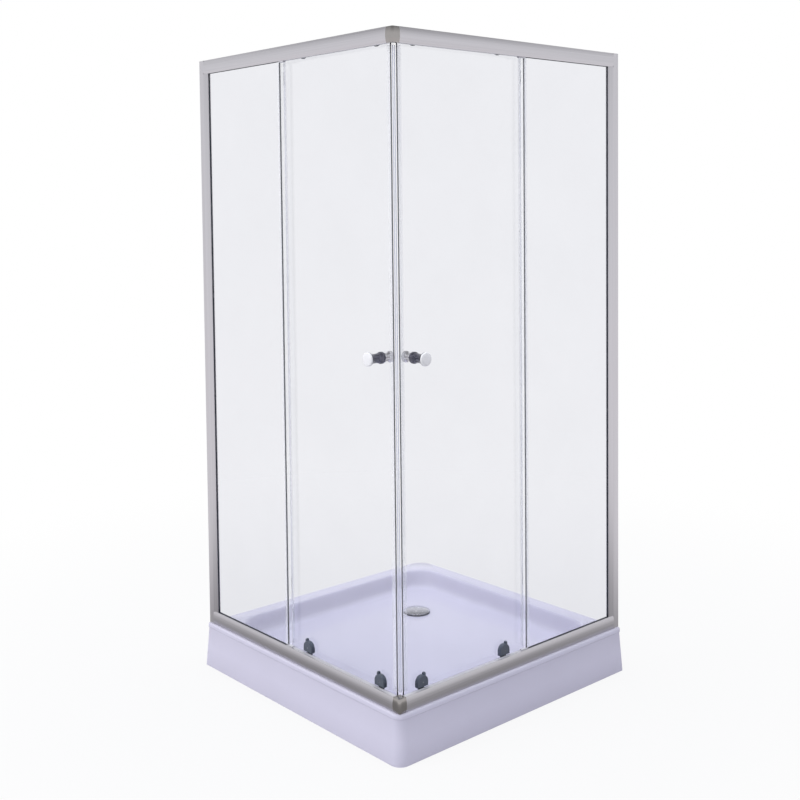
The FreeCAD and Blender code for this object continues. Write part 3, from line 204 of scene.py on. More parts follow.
FINISH = {
    "tray_acrylic": ACRYLIC, "support_board": BOARD, "steel": ZINC, "black_plastic": BLACK,
    "white_plastic": WHITE, "chrome": CHROME, "chrome_plastic": CHROME_PLASTIC_PAINTED_REFLECTION, "safety_glass": GLASS,
    "clear_seal": SEAL, "magnet": MAGNET, "gasket": GASKET, "grey_plastic": SLATE, "wheel_plastic": ACETAL,
    "satin_aluminium": SATIN["z"],
}
slot_of = {part["node"]: part["material_slot"] for part in frame["record"]["subparts"]}
for name, item in nodes.items():
    item.data.materials.clear()
    item.data.materials.append(STRIP if name.endswith("slot_strips") else FINISH[slot_of[name]])

# ---------------------------------------------------------------- building pieces
BEVEL_SEGMENTS, BEVEL_FROM_DEGREES = 2, 28
WELD_METRES = 2e-6


def linked(name, data):
    """A new object of some data, linked into the scene."""
    made = bpy.data.objects.new(name, data)
    bpy.context.scene.collection.objects.link(made)
    return made


def finish_piece(made, body, finish, replaced=(), bevel=0.0, angle=35.0):
    """Round the edges, shade, give the finish and hang the piece on its body."""
    made.data.materials.append(finish)
    if bevel:
        edge = made.modifiers.new("rounded", "BEVEL")
        edge.width = bevel * MM
        edge.segments = BEVEL_SEGMENTS
        edge.limit_method = "ANGLE"
        edge.angle_limit = math.radians(BEVEL_FROM_DEGREES)
    with bpy.context.temp_override(active_object=made, object=made, selected_editable_objects=[made]):
        bpy.ops.object.shade_smooth_by_angle(angle=math.radians(angle))
    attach(made, body)
    if replaced:
        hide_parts(*replaced)
    return made


def stood(name, mesh, build, matrix):
    """An object from a built form: welded, its faces turned outwards, set in place by a matrix in metres."""
    bmesh.ops.remove_doubles(build, verts=build.verts, dist=WELD_METRES)
    bmesh.ops.recalc_face_normals(build, faces=build.faces)
    build.to_mesh(mesh)
    build.free()
    if matrix is not None:
        mesh.transform(matrix)
        if matrix.to_3x3().determinant() < 0:
            mesh.flip_normals()
    return linked(name, mesh)


def mesh_piece(name, parts, matrix=None):
    """An object from one or more (points, faces) forms in mm, set in place by a matrix in metres."""
    build = bmesh.new()
    for points, faces in parts:
        corners = [build.verts.new(Vector(p) * MM) for p in points]
        for face in faces:
            if len(set(face)) > 2:
                build.faces.new([corners[n] for n in dict.fromkeys(face)])
    return stood(name, bpy.data.meshes.new(name), build, matrix)


def drawn(name, loops, low, high, matrix, edge=0.0):
    """A flat outline with holes drawn out along Z from low to high, with its rims rounded by edge; all in mm."""
    curve = bpy.data.curves.new(name, "CURVE")
    curve.dimensions = "2D"
    curve.fill_mode = "BOTH"
    curve.extrude = (high - low) / 2 - edge
    curve.bevel_depth = edge
    curve.bevel_resolution = 2
    curve.offset = -edge
    for outline in loops:
        spline = curve.splines.new("POLY")
        spline.points.add(len(outline) - 1)
        for point, (x, y) in zip(spline.points, outline):
            point.co = (x, y, 0, 1)
        spline.use_cyclic_u = True
    source = linked(name + "_outline", curve)
    mesh = bpy.data.meshes.new_from_object(source.evaluated_get(bpy.context.evaluated_depsgraph_get()))
    bpy.data.objects.remove(source)
    bpy.data.curves.remove(curve)
    build = bmesh.new()
    build.from_mesh(mesh)
    for corner in build.verts:
        corner.co.z += (high + low) / 2
    bmesh.ops.scale(build, vec=(MM, MM, MM), verts=build.verts)
    mesh.name = name
    mesh.materials.clear()
    return stood(name, mesh, build, matrix)


# ---------------------------------------------------------------- forms, in mm
def placed(form, place):
    """A form in mm moved by a matrix in metres, still in mm."""
    points, faces = form
    return [tuple(place @ (Vector(p) * MM) / MM) for p in points], faces


def ring_faces(count, rings, closed=False):
    """Quads between rings of count points; a closed form also joins its last ring to its first."""
    faces = []
    for ring in range(rings if closed else rings - 1):
        here, there = ring * count, ((ring + 1) % rings) * count
        for n in range(count):
            m = (n + 1) % count
            faces.append((here + n, here + m, there + m, there + n))
    return faces


def stacked(rings):
    """Rings of like count one above the other, closed at both ends."""
    size, last = len(rings[0]), (len(rings) - 1) * len(rings[0])
    ends = [tuple(range(size - 1, -1, -1)), tuple(range(last, last + size))]
    return [point for ring in rings for point in ring], ring_faces(size, len(rings)) + ends


def turned(profile, sides=48, centre=(0, 0), closed=False):
    """A turned form about Z from (radius, height) points; ends on the axis are closed."""
    points, faces, rows = [], [], []
    profile = list(profile) + (list(profile[:1]) if closed else [])
    for radius, height in profile:
        if radius < 1e-6:
            rows.append([len(points)])
            points.append((centre[0], centre[1], height))
            continue
        rows.append(list(range(len(points), len(points) + sides)))
        for n in range(sides):
            angle = 2 * math.pi * n / sides
            points.append((centre[0] + radius * math.cos(angle), centre[1] + radius * math.sin(angle), height))
    for a, b in zip(rows, rows[1:]):
        for n in range(sides):
            m = (n + 1) % sides
            if len(a) == 1 and len(b) > 1:
                faces.append((a[0], b[m], b[n]))
            elif len(b) == 1 and len(a) > 1:
                faces.append((a[n], a[m], b[0]))
            elif len(a) > 1:
                faces.append((a[n], a[m], b[m], b[n]))
    return points, faces


def soften(profile, radius, steps=3, closed=False):
    """Round the corners of a flat outline as far as its short runs allow."""
    count = len(profile)
    order = range(count) if closed else range(1, count - 1)
    out = [] if closed else [profile[0]]
    for i in order:
        before, corner, after = (Vector(profile[(i + d) % count]) for d in (-1, 0, 1))
        reach = min(radius, (before - corner).length * 0.45, (after - corner).length * 0.45)
        if reach < 1e-3:
            out.append(tuple(corner))
            continue
        start = corner + (before - corner).normalized() * reach
        end = corner + (after - corner).normalized() * reach
        for k in range(steps + 1):
            t = k / steps
            out.append(tuple(start * (1 - t) ** 2 + corner * 2 * t * (1 - t) + end * t * t))
    if not closed:
        out.append(profile[-1])
    return out


def through(points, steps=5):
    """A smooth curve through a few flat points."""
    out = []
    for i in range(len(points) - 1):
        p0, p1, p2, p3 = (points[min(max(i + d, 0), len(points) - 1)] for d in (-1, 0, 1, 2))
        for k in range(steps):
            t = k / steps
            out.append(tuple(
                0.5 * (2 * b + (c - a) * t + (2 * a - 5 * b + 4 * c - d) * t * t + (3 * b - a - 3 * c + d) * t ** 3)
                for a, b, c, d in zip(p0, p1, p2, p3)
            ))
    out.append(points[-1])
    return out


def arc(centre_x, centre_y, radius, start, end, steps=12):
    """Points on a circle arc between two angles in degrees."""
    turns = (math.radians(start + (end - start) * n / steps) for n in range(steps + 1))
    return [(centre_x + radius * math.cos(a), centre_y + radius * math.sin(a)) for a in turns]


def bowed(start, middle, end, steps=14):
    """Points on the circle arc from start through middle to end."""
    a, b, c = Vector(start), Vector(middle), Vector(end)
    spread = 2 * ((a.x - c.x) * (b.y - c.y) - (b.x - c.x) * (a.y - c.y))
    pa, pb = a.length_squared - c.length_squared, b.length_squared - c.length_squared
    centre = Vector(((pa * (b.y - c.y) - pb * (a.y - c.y)) / spread,
                     (pb * (a.x - c.x) - pa * (b.x - c.x)) / spread))
    first, via, last = (math.atan2(p.y - centre.y, p.x - centre.x) for p in (a, b, c))
    sweep = (last - first + math.pi) % (2 * math.pi) - math.pi
    if abs((via - first + math.pi) % (2 * math.pi) - math.pi) > abs(sweep):
        sweep -= math.copysign(2 * math.pi, sweep)
    radius = (a - centre).length
    turns = (first + sweep * n / steps for n in range(steps + 1))
    return [(centre.x + radius * math.cos(t), centre.y + radius * math.sin(t)) for t in turns]


INTO_CABIN = Matrix.Rotation(math.radians(-90), 4, "X")
TO_DEPTH = Matrix.Rotation(math.radians(90), 4, "X")
ALONG_RAIL = Matrix(((0, 0, 1, 0), (1, 0, 0, 0), (0, 1, 0, 0), (0, 0, 0, 1)))


def at(face, x=0.0, depth=0.0, height=0.0, turn=None):
    """Where a form made about its own origin stands on a glass face; the place is in mm."""
    made = face_matrix(face) @ Matrix.Translation(Vector((x, depth, height)) * MM)
    return made @ turn if turn is not None else made


def upside(face, turn=None):
    """The same place on the top rail: mirrored across the face's middle height."""
    middle = Matrix.Translation((0, 0, HEIGHT / 2))
    flip = middle @ Matrix.Scale(-1, 4, (0, 0, 1)) @ middle.inverted()
    return face_matrix(face) @ flip @ face_matrix(face).inverted() @ at(face, turn=turn)


# ---------------------------------------------------------------- tray
TRAY_MM, SETBACK = TRAY / MM, (TRAY - SIDE) / MM
TRAY_TOP = tray_high.z / MM
TURN_DOWN, LIP_START, SHELL = TRAY_TOP - 30, TRAY_TOP - 15, 5.0
LIP_IN, APRON_IN = SETBACK - 4, SETBACK - 1.5
TURN_IN = APRON_IN * TURN_DOWN / LIP_START
RIM_WALL, RIM_FRONT = 46.0, SETBACK + 52
FLOOR, DISH = TRAY_TOP - 56, TRAY_TOP - 60
BASIN_RADIUS, BASIN_SLOPE = 95.0, 46.0
HOLE, DISH_RADIUS, FALL_RADIUS = 40.0, 60.0, 150.0
CORNER_POINTS, SIDE_POINTS = 14, 10
SHARP = 0.4
# corner radii: at the walls, where a wall side meets a front side, and in front
OUTSIDE_RADII, INSIDE_RADII = (50, SHARP, 30), (45, SHARP, 25)
flange_low, flange_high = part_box("drain_flange")
DRAIN = ((flange_low.x + flange_high.x) / 2 / MM, (flange_low.y + flange_high.y) / 2 / MM)

# (inset on the wall sides, inset on the front sides, height), from the ground over the lip to the rim
OUTSIDE = (
    (0.0, 0.8, 0.0), (0.0, 0.1, 0.2), (0.0, 0.0, 1.0), (0.0, APRON_IN * 0.5, LIP_START * 0.5),
    (0.0, APRON_IN, LIP_START - 1.8), (0.0, APRON_IN - 0.3, LIP_START - 0.5),
    (0.0, LIP_IN + 1.0, LIP_START + 0.2), (0.0, LIP_IN + 0.25, LIP_START + 1.2),
    (0.0, LIP_IN, LIP_START + 2.8), (0.0, LIP_IN, TRAY_TOP - 4.5), (0.1, LIP_IN + 0.5, TRAY_TOP - 2.2),
    (0.5, LIP_IN + 1.7, TRAY_TOP - 0.6), (1.4, LIP_IN + 3.8, TRAY_TOP),
)
# (inset from the basin's rim, height), down the basin's wall
BASIN_WALL = (
    (-6.0, TRAY_TOP), (0.0, TRAY_TOP - 0.5), (3.2, TRAY_TOP - 3.4), (6.0, TRAY_TOP - 10.0),
    (13.5, FLOOR + 15.0), (19.0, FLOOR + 6.5), (27.0, FLOOR + 2.2), (36.0, FLOOR + 0.4), (BASIN_SLOPE, FLOOR),
)
# (share of the way from the floor's edge to the fall round the drain, height)
FLOOR_FALL = ((0.35, FLOOR - 0.2), (0.7, FLOOR - 0.7))
# (radius about the drain, height), into the dish, through its hole and back under the floor
DRAIN_DISH = (
    (FALL_RADIUS, FLOOR - 1.2), (105, FLOOR - 2.5), (DISH_RADIUS + 7, DISH + 0.4), (DISH_RADIUS - 4, DISH),
    (HOLE + 1, DISH), (HOLE, DISH - 0.8), (HOLE, DISH - SHELL), (DISH_RADIUS + SHELL, DISH - SHELL),
    (FALL_RADIUS, FLOOR - SHELL - 1.2),
)
# (inset from the basin's rim, height), up the basin's underside
UNDERSIDE = (
    (BASIN_SLOPE, FLOOR - SHELL), (36.0, FLOOR - SHELL + 0.4), (19.0, FLOOR - SHELL + 6.5), (6.0, TRAY_TOP - 15),
    (0.0, TRAY_TOP - SHELL),
)
# as OUTSIDE, down the inside of the apron
INSIDE = (
    (SHELL, SHELL + APRON_IN, TRAY_TOP - SHELL), (SHELL, SHELL + APRON_IN * 0.9, TURN_DOWN),
    (0.3, SHELL + APRON_IN * 0.89, TURN_DOWN), (0.0, SHELL + APRON_IN * 0.5, LIP_START * 0.5), (0.0, SHELL, 0.0),
)


def tray_ring(wall_in, front_in, radii, height, lifted=0.0):
    """A rounded square round the tray.

    Lifted keeps its wall sides at the turned-down edge, that far from the front sides.
    """
    low, high = wall_in, TRAY_MM - front_in
    back, side, front = radii
    corners = ((low, low, back, 180), (high, low, side, 270), (high, high, front, 0), (low, high, side, 90))
    turns = []
    for x, y, radius, start in corners:
        cx, cy = x + (radius if x == low else -radius), y + (radius if y == low else -radius)
        angles = (math.radians(start + 90 * n / CORNER_POINTS) for n in range(CORNER_POINTS + 1))
        turns.append([(cx + radius * math.cos(a), cy + radius * math.sin(a)) for a in angles])
    ring = []
    for number, turn in enumerate(turns):
        follow = turns[(number + 1) % 4][0]
        last = turn[-1]
        run = [(last[0] + (follow[0] - last[0]) * n / SIDE_POINTS,
                last[1] + (follow[1] - last[1]) * n / SIDE_POINTS) for n in range(1, SIDE_POINTS)]
        for place, (x, y) in enumerate(turn + run):
            on_wall = number == 0 or (number == 1 and place < CORNER_POINTS) or (number == 3 and place > 0)
            if lifted and on_wall and height < TURN_DOWN:
                limit = TRAY_MM - lifted
                ring.append((WALL / MM + min(x, limit), -WALL / MM - min(y, limit), TURN_DOWN))
            else:
                ring.append((WALL / MM + x, -WALL / MM - y, height))
    return ring


def basin_ring(inset, height, grow=0.0):
    """A rounded square round the basin, inset from its rim; grow moves the rim outwards."""
    radius = BASIN_RADIUS + grow - inset
    return tray_ring(RIM_WALL - grow + inset, RIM_FRONT - grow + inset, (radius,) * 3, height)


def drain_ring(outline, radius, height):
    """The points of an outline drawn onto a circle about the drain."""
    ring = []
    for x, y, _ in outline:
        angle = math.atan2(y - DRAIN[1], x - DRAIN[0])
        ring.append((DRAIN[0] + radius * math.cos(angle), DRAIN[1] + radius * math.sin(angle), height))
    return ring


def between(a, b, share, height):
    """A ring part of the way from one ring to another."""
    return [(p[0] + (q[0] - p[0]) * share, p[1] + (q[1] - p[1]) * share, height) for p, q in zip(a, b)]


floor_edge = basin_ring(BASIN_SLOPE, FLOOR)
fall_edge = drain_ring(floor_edge, FALL_RADIUS, FLOOR)
rings = [tray_ring(wall_in, front_in, OUTSIDE_RADII, height, TURN_IN) for wall_in, front_in, height in OUTSIDE]
rings += [basin_ring(inset, height) for inset, height in through(BASIN_WALL, 3)]
rings += [between(floor_edge, fall_edge, share, height) for share, height in FLOOR_FALL]
rings += [drain_ring(floor_edge, radius, height) for radius, height in DRAIN_DISH]
rings += [basin_ring(inset, height, SHELL) for inset, height in UNDERSIDE]
rings += [tray_ring(wall_in, front_in, INSIDE_RADII, height, SHELL + TURN_IN)
          for wall_in, front_in, height in INSIDE]
tray_points = [point for ring in rings for point in ring]
tray = mesh_piece("tray_shell", [(tray_points, ring_faces(len(rings[0]), len(rings), closed=True))])
finish_piece(tray, "enclosure", ACRYLIC, ("tray",), angle=32)

# ---------------------------------------------------------------- drain and trap; outlines as (radius, height)
drain_place = Matrix.Translation((DRAIN[0] * MM, DRAIN[1] * MM, 0))
flange_top = flange_high.z / MM
cover_low, cover_high = (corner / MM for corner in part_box("drain_cover"))
COVER, TOP = (cover_high.x - cover_low.x) / 2, cover_high.z
STEM_END = flange_top - 17.2
dome = through([(0.0, TOP), (14.0, TOP - 0.3), (28.0, TOP - 1.4), (38.0, TOP - 3.2), (COVER - 1.0, TOP - 4.7)], 5)
dome += [
    (COVER, TOP - 5.4), (COVER, TOP - 6.0), (COVER - 1.4, TOP - 6.0), (COVER - 3.0, TOP - 5.2),
    (28.0, TOP - 3.0), (9.0, TOP - 2.1),
]
dome += soften([
    (8.0, TOP - 2.2), (8.0, flange_top - 1.15), (5.0, flange_top - 1.2), (5.0, flange_top - 16.4),
    (4.0, STEM_END), (0.0, STEM_END),
], 0.6)
cover = mesh_piece("drain_cover_dome", [turned(dome, 96)], drain_place)
finish_piece(cover, "drain_cover", COVER_CHROME, ("drain_cover",))

flange_outline = soften([
    (36.0, DISH - 18), (38.0, DISH - 18), (38.0, DISH + 0.2), (44.0, DISH + 0.2), (44.0, DISH + 1.0),
    (42.4, flange_top), (37.4, flange_top), (36.0, flange_top - 1.2),
], 0.6, closed=True)
hub_outline = soften([
    (5.35, flange_top - 6), (8.0, flange_top - 6), (8.0, flange_top - 1.3), (5.35, flange_top - 1.3),
], 0.4, closed=True)
flange_parts = [turned(flange_outline, 96, closed=True), turned(hub_outline, 32, closed=True)]
SPOKE_START, SPOKE_END = 7.6, 36.6
SPOKE_SECTION = ((-1.5, -6.0), (-1.2, -1.5), (1.2, -1.5), (1.5, -6.0))
spoke = stacked([[(x, y, flange_top + z) for y, z in SPOKE_SECTION] for x in (SPOKE_START, SPOKE_END)])
for quarter in range(4):
    flange_parts.append(placed(spoke, Matrix.Rotation(math.radians(90 * quarter), 4, "Z")))
flange = mesh_piece("drain_flange_ring", flange_parts, drain_place)
# the flange's dark chrome is painted shade under the cover
finish_piece(flange, "enclosure", PAINTED_SHADE_CHROME, ("drain_flange",))

trap_low, trap_high = (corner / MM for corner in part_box("drain_trap"))
trap_top, trap_base = trap_high.z, trap_low.z
cup = soften([
    (0.0, trap_base), (45.0, trap_base), (52.0, trap_base + 7), (52.0, trap_top - 9), (53.0, trap_top - 8),
    (53.0, trap_top), (38.6, trap_top), (38.6, trap_top - 9), (48.5, trap_top - 10), (48.5, trap_base + 9),
    (43.0, trap_base + 3.4), (0.0, trap_base + 3.4),
], 1.6)
OUTLET_HEIGHT, OUTLET_END, OUTLET_FREE = 30.0, DRAIN[0] - trap_low.x, 74
pipe = soften([
    (17.0, 50.0), (23.0, 50.0), (23.0, OUTLET_END - OUTLET_FREE), (20.0, OUTLET_END - OUTLET_FREE),
    (20.0, OUTLET_END), (17.0, OUTLET_END),
], 0.8, closed=True)
trap_body = mesh_piece("drain_trap_cup", [turned(cup, 72)], drain_place)
finish_piece(trap_body, "enclosure", WHITE, ("drain_trap",))
pipe_place = (Matrix.Translation((DRAIN[0] * MM, DRAIN[1] * MM, OUTLET_HEIGHT * MM))
              @ Matrix.Rotation(math.radians(-90), 4, "Y"))
outlet = mesh_piece("drain_trap_outlet", [turned(pipe, 56, closed=True)], pipe_place)
finish_piece(outlet, "enclosure", WHITE)

# ---------------------------------------------------------------- legs; outlines as (radius, height)
pads_low, pads_high = (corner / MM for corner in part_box("tray_foot_pads"))
legs_low, legs_high = (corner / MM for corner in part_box("tray_legs"))
PAD, PITCH, ROOT, CREST = 22.0, 1.5, 5.2, 6.0
NUTS = (legs_high.z - 8.5, 14.2)
pad_outline = soften([
    (0, 0.6), (18.0, 0.6), (19.0, 0), (PAD, 0), (PAD, 4.0), (10.5, 9.0), (8.0, 12.0), (6.4, 12.0), (0, 12.0),
], 0.9)
thread = [(0.0, legs_low.z)]
level = legs_low.z
while level < legs_high.z - 3.2:
    thread += [(ROOT, level + 0.1), (CREST, level + 0.8), (ROOT, level + PITCH)]
    level += PITCH
thread += [(ROOT, legs_high.z), (0.0, legs_high.z)]
leg_places = [(x, y) for x in (pads_low.x + PAD, pads_high.x - PAD) for y in (pads_low.y + PAD, pads_high.y - PAD)]
leg_places.append(((pads_low.x + pads_high.x) / 2, (pads_low.y + pads_high.y) / 2))
pads, legs, nuts = [], [], []
for spot in leg_places:
    pads.append(turned(pad_outline, 40, spot))
    legs.append(turned(thread, 24, spot))
    for low in NUTS:
        nut_outline = soften([
            (5.9, low), (9.2, low), (10.0, low + 0.8), (10.0, low + 6.2), (9.2, low + 7.0), (5.9, low + 7.0),
        ], 0.2, closed=True)
        nuts.append(turned(nut_outline, 6, spot, closed=True))
finish_piece(mesh_piece("foot_pads", pads), "enclosure", BLACK, ("tray_foot_pads",))
finish_piece(mesh_piece("leg_rods", legs), "enclosure", ZINC, ("tray_legs",))
finish_piece(mesh_piece("leg_nuts", nuts), "enclosure", ZINC, bevel=0.3)

# ---------------------------------------------------------------- rails, corner connectors and stiles
BULGE, RAIL_DEPTH, RAIL_HEIGHT = 3.2, 26.0, 40.0
RAIL_START, RAIL_END = 22.3, SIDE / MM - RAIL_DEPTH
STILE_LOW, STILE_HIGH = RAIL_HEIGHT, HEIGHT / MM - RAIL_HEIGHT
RAIL_EDGE, CONNECTOR_RADIUS = 0.12, 9.0
# rail sections as (depth, height), stile sections as (distance from the wall, depth)
RAIL_OUTLINE = bowed((BULGE, RAIL_HEIGHT), (0, RAIL_HEIGHT / 2), (BULGE, 0), 20) + [
    (26, 0), (26, 6), (24.5, 6), (24.5, 1.5), (15, 1.5), (15, 30.5), (17.95, 30.5), (18.95, 28), (19.95, 28),
    (20.95, 30.5), (22.3, 30.5), (22.3, 32), (15, 32), (15, 40), (13.5, 40), (13.5, 22), (5.5, 22), (5.5, 40),
]
chamber = bowed((4.1, 34), (1.5, 20), (4.6, 1.5), 12)
RAIL_CHAMBER = [(13.5, 1.5), (13.5, 20.5), (4.9, 20.5), (4.9, 34)] + chamber[:-1]
STILE_OUTLINE = [(8, 3.9), (22.3, 3.9)] + bowed((22.3, 1.5), (33.15, 2.1), (44, 4.2), 14) + [
    (44, 5.5), (32.5, 5.5), (32.5, 13.5), (44, 13.5), (44, 15), (31, 15), (31, 22.1), (8, 22.1),
]
STILE_ROOM = [(9.5, 5.4), (29.5, 5.4), (29.5, 20.6), (9.5, 20.6)]
SCREW_PORT = [(22.6, 6.1), (29.5, 6.1), (29.5, 12.9), (22.6, 12.9)]
SCREW_BORE = [(24.2, 7.7), (27.8, 7.7), (27.8, 11.3), (24.2, 11.3)]


def bulge_at(height):
    """Depth of the rail's curved skin at a height."""
    radius = (RAIL_HEIGHT ** 2 / 4 + BULGE ** 2) / (2 * BULGE)
    return radius - math.sqrt(radius ** 2 - (height - RAIL_HEIGHT / 2) ** 2)


def connector_form():
    """The solid corner between two rails: its two faces bow as the rails do and meet in a rounded corner."""
    corner, radius = SIDE / MM, CONNECTOR_RADIUS
    rows = [(0.0, 1.2), (0.35, 0.35), (1.2, 0.0)] + [(RAIL_HEIGHT * n / 16, 0.0) for n in range(1, 16)] + [
        (RAIL_HEIGHT - 1.2, 0.0), (RAIL_HEIGHT - 0.35, 0.35), (RAIL_HEIGHT, 1.2),
    ]
    rings = []
    for height, tuck in rows:
        skin = bulge_at(height) + tuck
        line = [(RAIL_END + tuck * 0.5, RAIL_DEPTH - tuck), (RAIL_END + tuck * 0.5, skin)]
        line += arc(corner - radius, radius, radius - skin, -90, 0, 10)
        line += [(corner - skin, RAIL_DEPTH - tuck * 0.5), (RAIL_END + tuck, RAIL_DEPTH - tuck * 0.5)]
        rings.append([(x, y, height) for x, y in line])
    return stacked(rings)


for face in FACES:
    along = SATIN["x" if face == "left" else "y"]
    for level in ("bottom", "top"):
        place = at(face, turn=ALONG_RAIL) if level == "bottom" else upside(face, ALONG_RAIL)
        rail = drawn(face + "_" + level + "_rail_profile", [RAIL_OUTLINE, RAIL_CHAMBER], RAIL_START, RAIL_END,
                     place, RAIL_EDGE)
        finish_piece(rail, "enclosure", along, (face + "_" + level + "_rail",), angle=30)
    stile = drawn(face + "_stile_profile", [STILE_OUTLINE, STILE_ROOM], STILE_LOW, STILE_HIGH, at(face),
                  RAIL_EDGE)
    finish_piece(stile, "enclosure", SATIN["z"], (face + "_stile",), angle=30)
    port = drawn(face + "_stile_screw_port", [SCREW_PORT, SCREW_BORE], STILE_LOW, STILE_HIGH, at(face))
    finish_piece(port, "enclosure", SATIN["z"])
for level in ("bottom", "top"):
    place = at("left") if level == "bottom" else upside("left")
    block = mesh_piece(level + "_corner_block", [connector_form()], place)
    # the connectors' dark chrome is a painted dark reflection
    finish_piece(block, "enclosure", CHROME_PLASTIC_PAINTED_REFLECTION, (level + "_corner_connector",), angle=30)

# ---------------------------------------------------------------- running gear; turned outlines as (radius, depth)
ROLLERS = ((1, 789.0), (2, 482.0))
AXLE_HEIGHT, ECCENTRIC = 18.45, 1.5
WHEEL_FRONT, WHEEL_BACK, GLASS_FRONT, GLASS_BACK = 16.6, 22.3, 28.0, 33.0
CAP_FRONT = GLASS_BACK + 0.2
WHEEL = soften([
    (3.15, WHEEL_FRONT), (10.9, WHEEL_FRONT), (11.5, WHEEL_FRONT + 0.4), (11.5, 17.53), (9.5, 18.85),
    (9.5, 20.05), (11.5, 21.37), (11.5, WHEEL_BACK - 0.4), (10.9, WHEEL_BACK), (6.5, WHEEL_BACK),
    (6.2, WHEEL_BACK - 0.5), (4.6, WHEEL_BACK - 0.5), (4.3, WHEEL_BACK), (3.15, WHEEL_BACK),
], 0.25, 2, closed=True)
BUSH = soften([(0, 22.4), (8.0, 22.4), (8.0, 27.8), (6.0, 27.8), (6.0, GLASS_BACK), (0, GLASS_BACK)], 0.5)
HUB_CAP = soften([
    (0, CAP_FRONT), (18.4, CAP_FRONT), (19.0, 33.8), (19.0, 36.8), (17.5, 38.6), (11.8, 41.2), (4.0, 41.2),
    (3.4, 40.2), (0, 40.2),
], 0.9)
HUB_AXLE_END, SLIDER_AXLE_END = 23.2, 23.7
HOUSING_LOW, HOUSING_HIGH, HALF, HOUSING_FRONT, HOUSING_BACK = 41.0, 71.0, 18.0, 15.6, 27.8
BOSS_HEIGHT = 46.5
HOUSING_WALL = 1.6
HOUSING_ROOM = [(-10.3, 42.4), (10.3, 42.4), (13, 44.6), (13, 62.3), (-13, 62.3), (-13, 44.6)]
HOUSING_CAP = soften([
    (0, CAP_FRONT), (11.6, CAP_FRONT), (12.0, 33.6), (12.0, 35.4), (9.6, 38.2), (3.4, 38.2), (2.8, 37.2),
    (0, 37.2),
], 0.8)
BOSS = [(0, 17.0), (4.0, 17.0), (4.0, GLASS_BACK), (0, GLASS_BACK)]
# rows of the housing's face: (how much smaller than the outline, how far behind the front)
FACE_ROWS = ((0.0, 1.8), (0.0, 1.2), (0.35, 0.5), (1.2, 0.05), (2.2, 0.0), (3.6, 0.0), (4.0, 0.35), (5.0, 0.35),
             (5.4, 0.0))
SCREW_RADIUS, SCREW_RISE, SCREW_SEAT, SCREW_ABOVE = 3.1, 1.6, 1.4, 6.5
SLIDER_EDGE = 0.3
ARM_OUTLINE = arc(0, AXLE_HEIGHT, 6.5, 180, 360, 20) + [
    (6.5, 25.7), (10, 35.7), (10, 60.0), (-10, 60.0), (-10, 35.7), (-6.5, 25.7),
]
ARM_WINDOW = [(-4.3, 42.2), (4.3, 42.2), (4.3, 57.7), (-4.3, 57.7)]
ARM_FRONT, HEAD_FRONT, SLIDER_BACK = 22.7, 17.5, 26.7
HEAD_LOW, HEAD_HIGH, HEAD_HALF = 57.75, 62.25, 12.4
HEAD_OUTLINE = soften([
    (-HEAD_HALF, HEAD_FRONT), (HEAD_HALF, HEAD_FRONT), (HEAD_HALF, SLIDER_BACK), (-HEAD_HALF, SLIDER_BACK),
], 0.8, 3, closed=True)
NUB_LEFT, NUB_RIGHT = -11.5, -4.5
# rows of the thumb nub with its grooves: (height, how much smaller than its foot)
NUB_ROWS = (
    (57.8, 0.0), (65.0, 0.0), (69.0, 0.05), (69.6, 0.35), (70.2, 0.05), (71.4, 0.1), (72.0, 0.4), (72.6, 0.15),
    (74.0, 0.3), (76.0, 0.8), (76.8, 1.5), (77.0, 2.4),
)
SPRING_LOW, SPRING_HIGH, SPRING_X, SPRING_DEPTH = 43.4, 57.6, 8.5, 20.1
SPRING_RADIUS, SPRING_WIRE, SPRING_TURNS = 2.35, 0.4, 6.5

# ---------------------------------------------------------------- knob outlines as (radius, depth)
KNOB_X, KNOB_HEIGHT = SIDE / MM - 84, 895.0
KNOB_END, KNOB_FACE, INNER_FACE = GLASS_FRONT - 52, GLASS_FRONT - 0.1, GLASS_BACK + 0.1
OUTER_KNOB = [(0, -17.0), (17.1, -17.0)] + through([
    (17.5, -16.4), (16.4, -14.2), (14.2, -10.0), (12.7, -4.0), (12.1, 2.5), (12.3, 8.5), (13.3, 14.5),
    (14.0, 17.6),
], 4) + soften([
    (13.4, 18.4), (13.4, 19.4), (15.4, 20.4), (15.5, 27.2), (14.9, KNOB_FACE), (4.3, KNOB_FACE), (4.3, 8.0),
    (0, 8.0),
], 0.5)
KNOB_CAP = through([
    (0, KNOB_END), (7.0, KNOB_END + 0.12), (13.0, KNOB_END + 0.8), (16.4, KNOB_END + 1.9),
    (17.8, KNOB_END + 3.4), (17.99, KNOB_END + 5.0), (17.6, KNOB_END + 6.5),
], 4) + [(16.9, KNOB_END + 6.9), (0, KNOB_END + 6.9)]
INNER_KNOB = [(0, 8.2), (4.0, 8.2), (4.0, INNER_FACE), (12.2, INNER_FACE)] + through([
    (12.5, 34.0), (12.1, 37.0), (10.9, 41.5), (10.5, 46.0), (11.2, 50.0), (13.0, 53.2), (14.6, 54.8),
    (15.0, 56.2),
], 4) + soften([(15.0, 59.4), (13.6, 61.1), (4.0, 61.1), (0, 60.9)], 0.8)


def axle(end):
    """A wheel's axle with its head in front, as deep as its end."""
    return turned(soften([
        (0, 15.4), (4.2, 15.4), (5.0, 15.8), (5.0, 16.5), (3.0, 16.5), (3.0, end), (0, end),
    ], 0.3), 28)


def housing_line(tuck=0.0):
    """The outline of a roller housing, made smaller by a tuck: straight sides under a half round."""
    half = HALF - tuck
    foot = [(-half, HOUSING_LOW + tuck), (half, HOUSING_LOW + tuck)]
    return foot + arc(0, HOUSING_HIGH - HALF, half, 0, 180, 28)


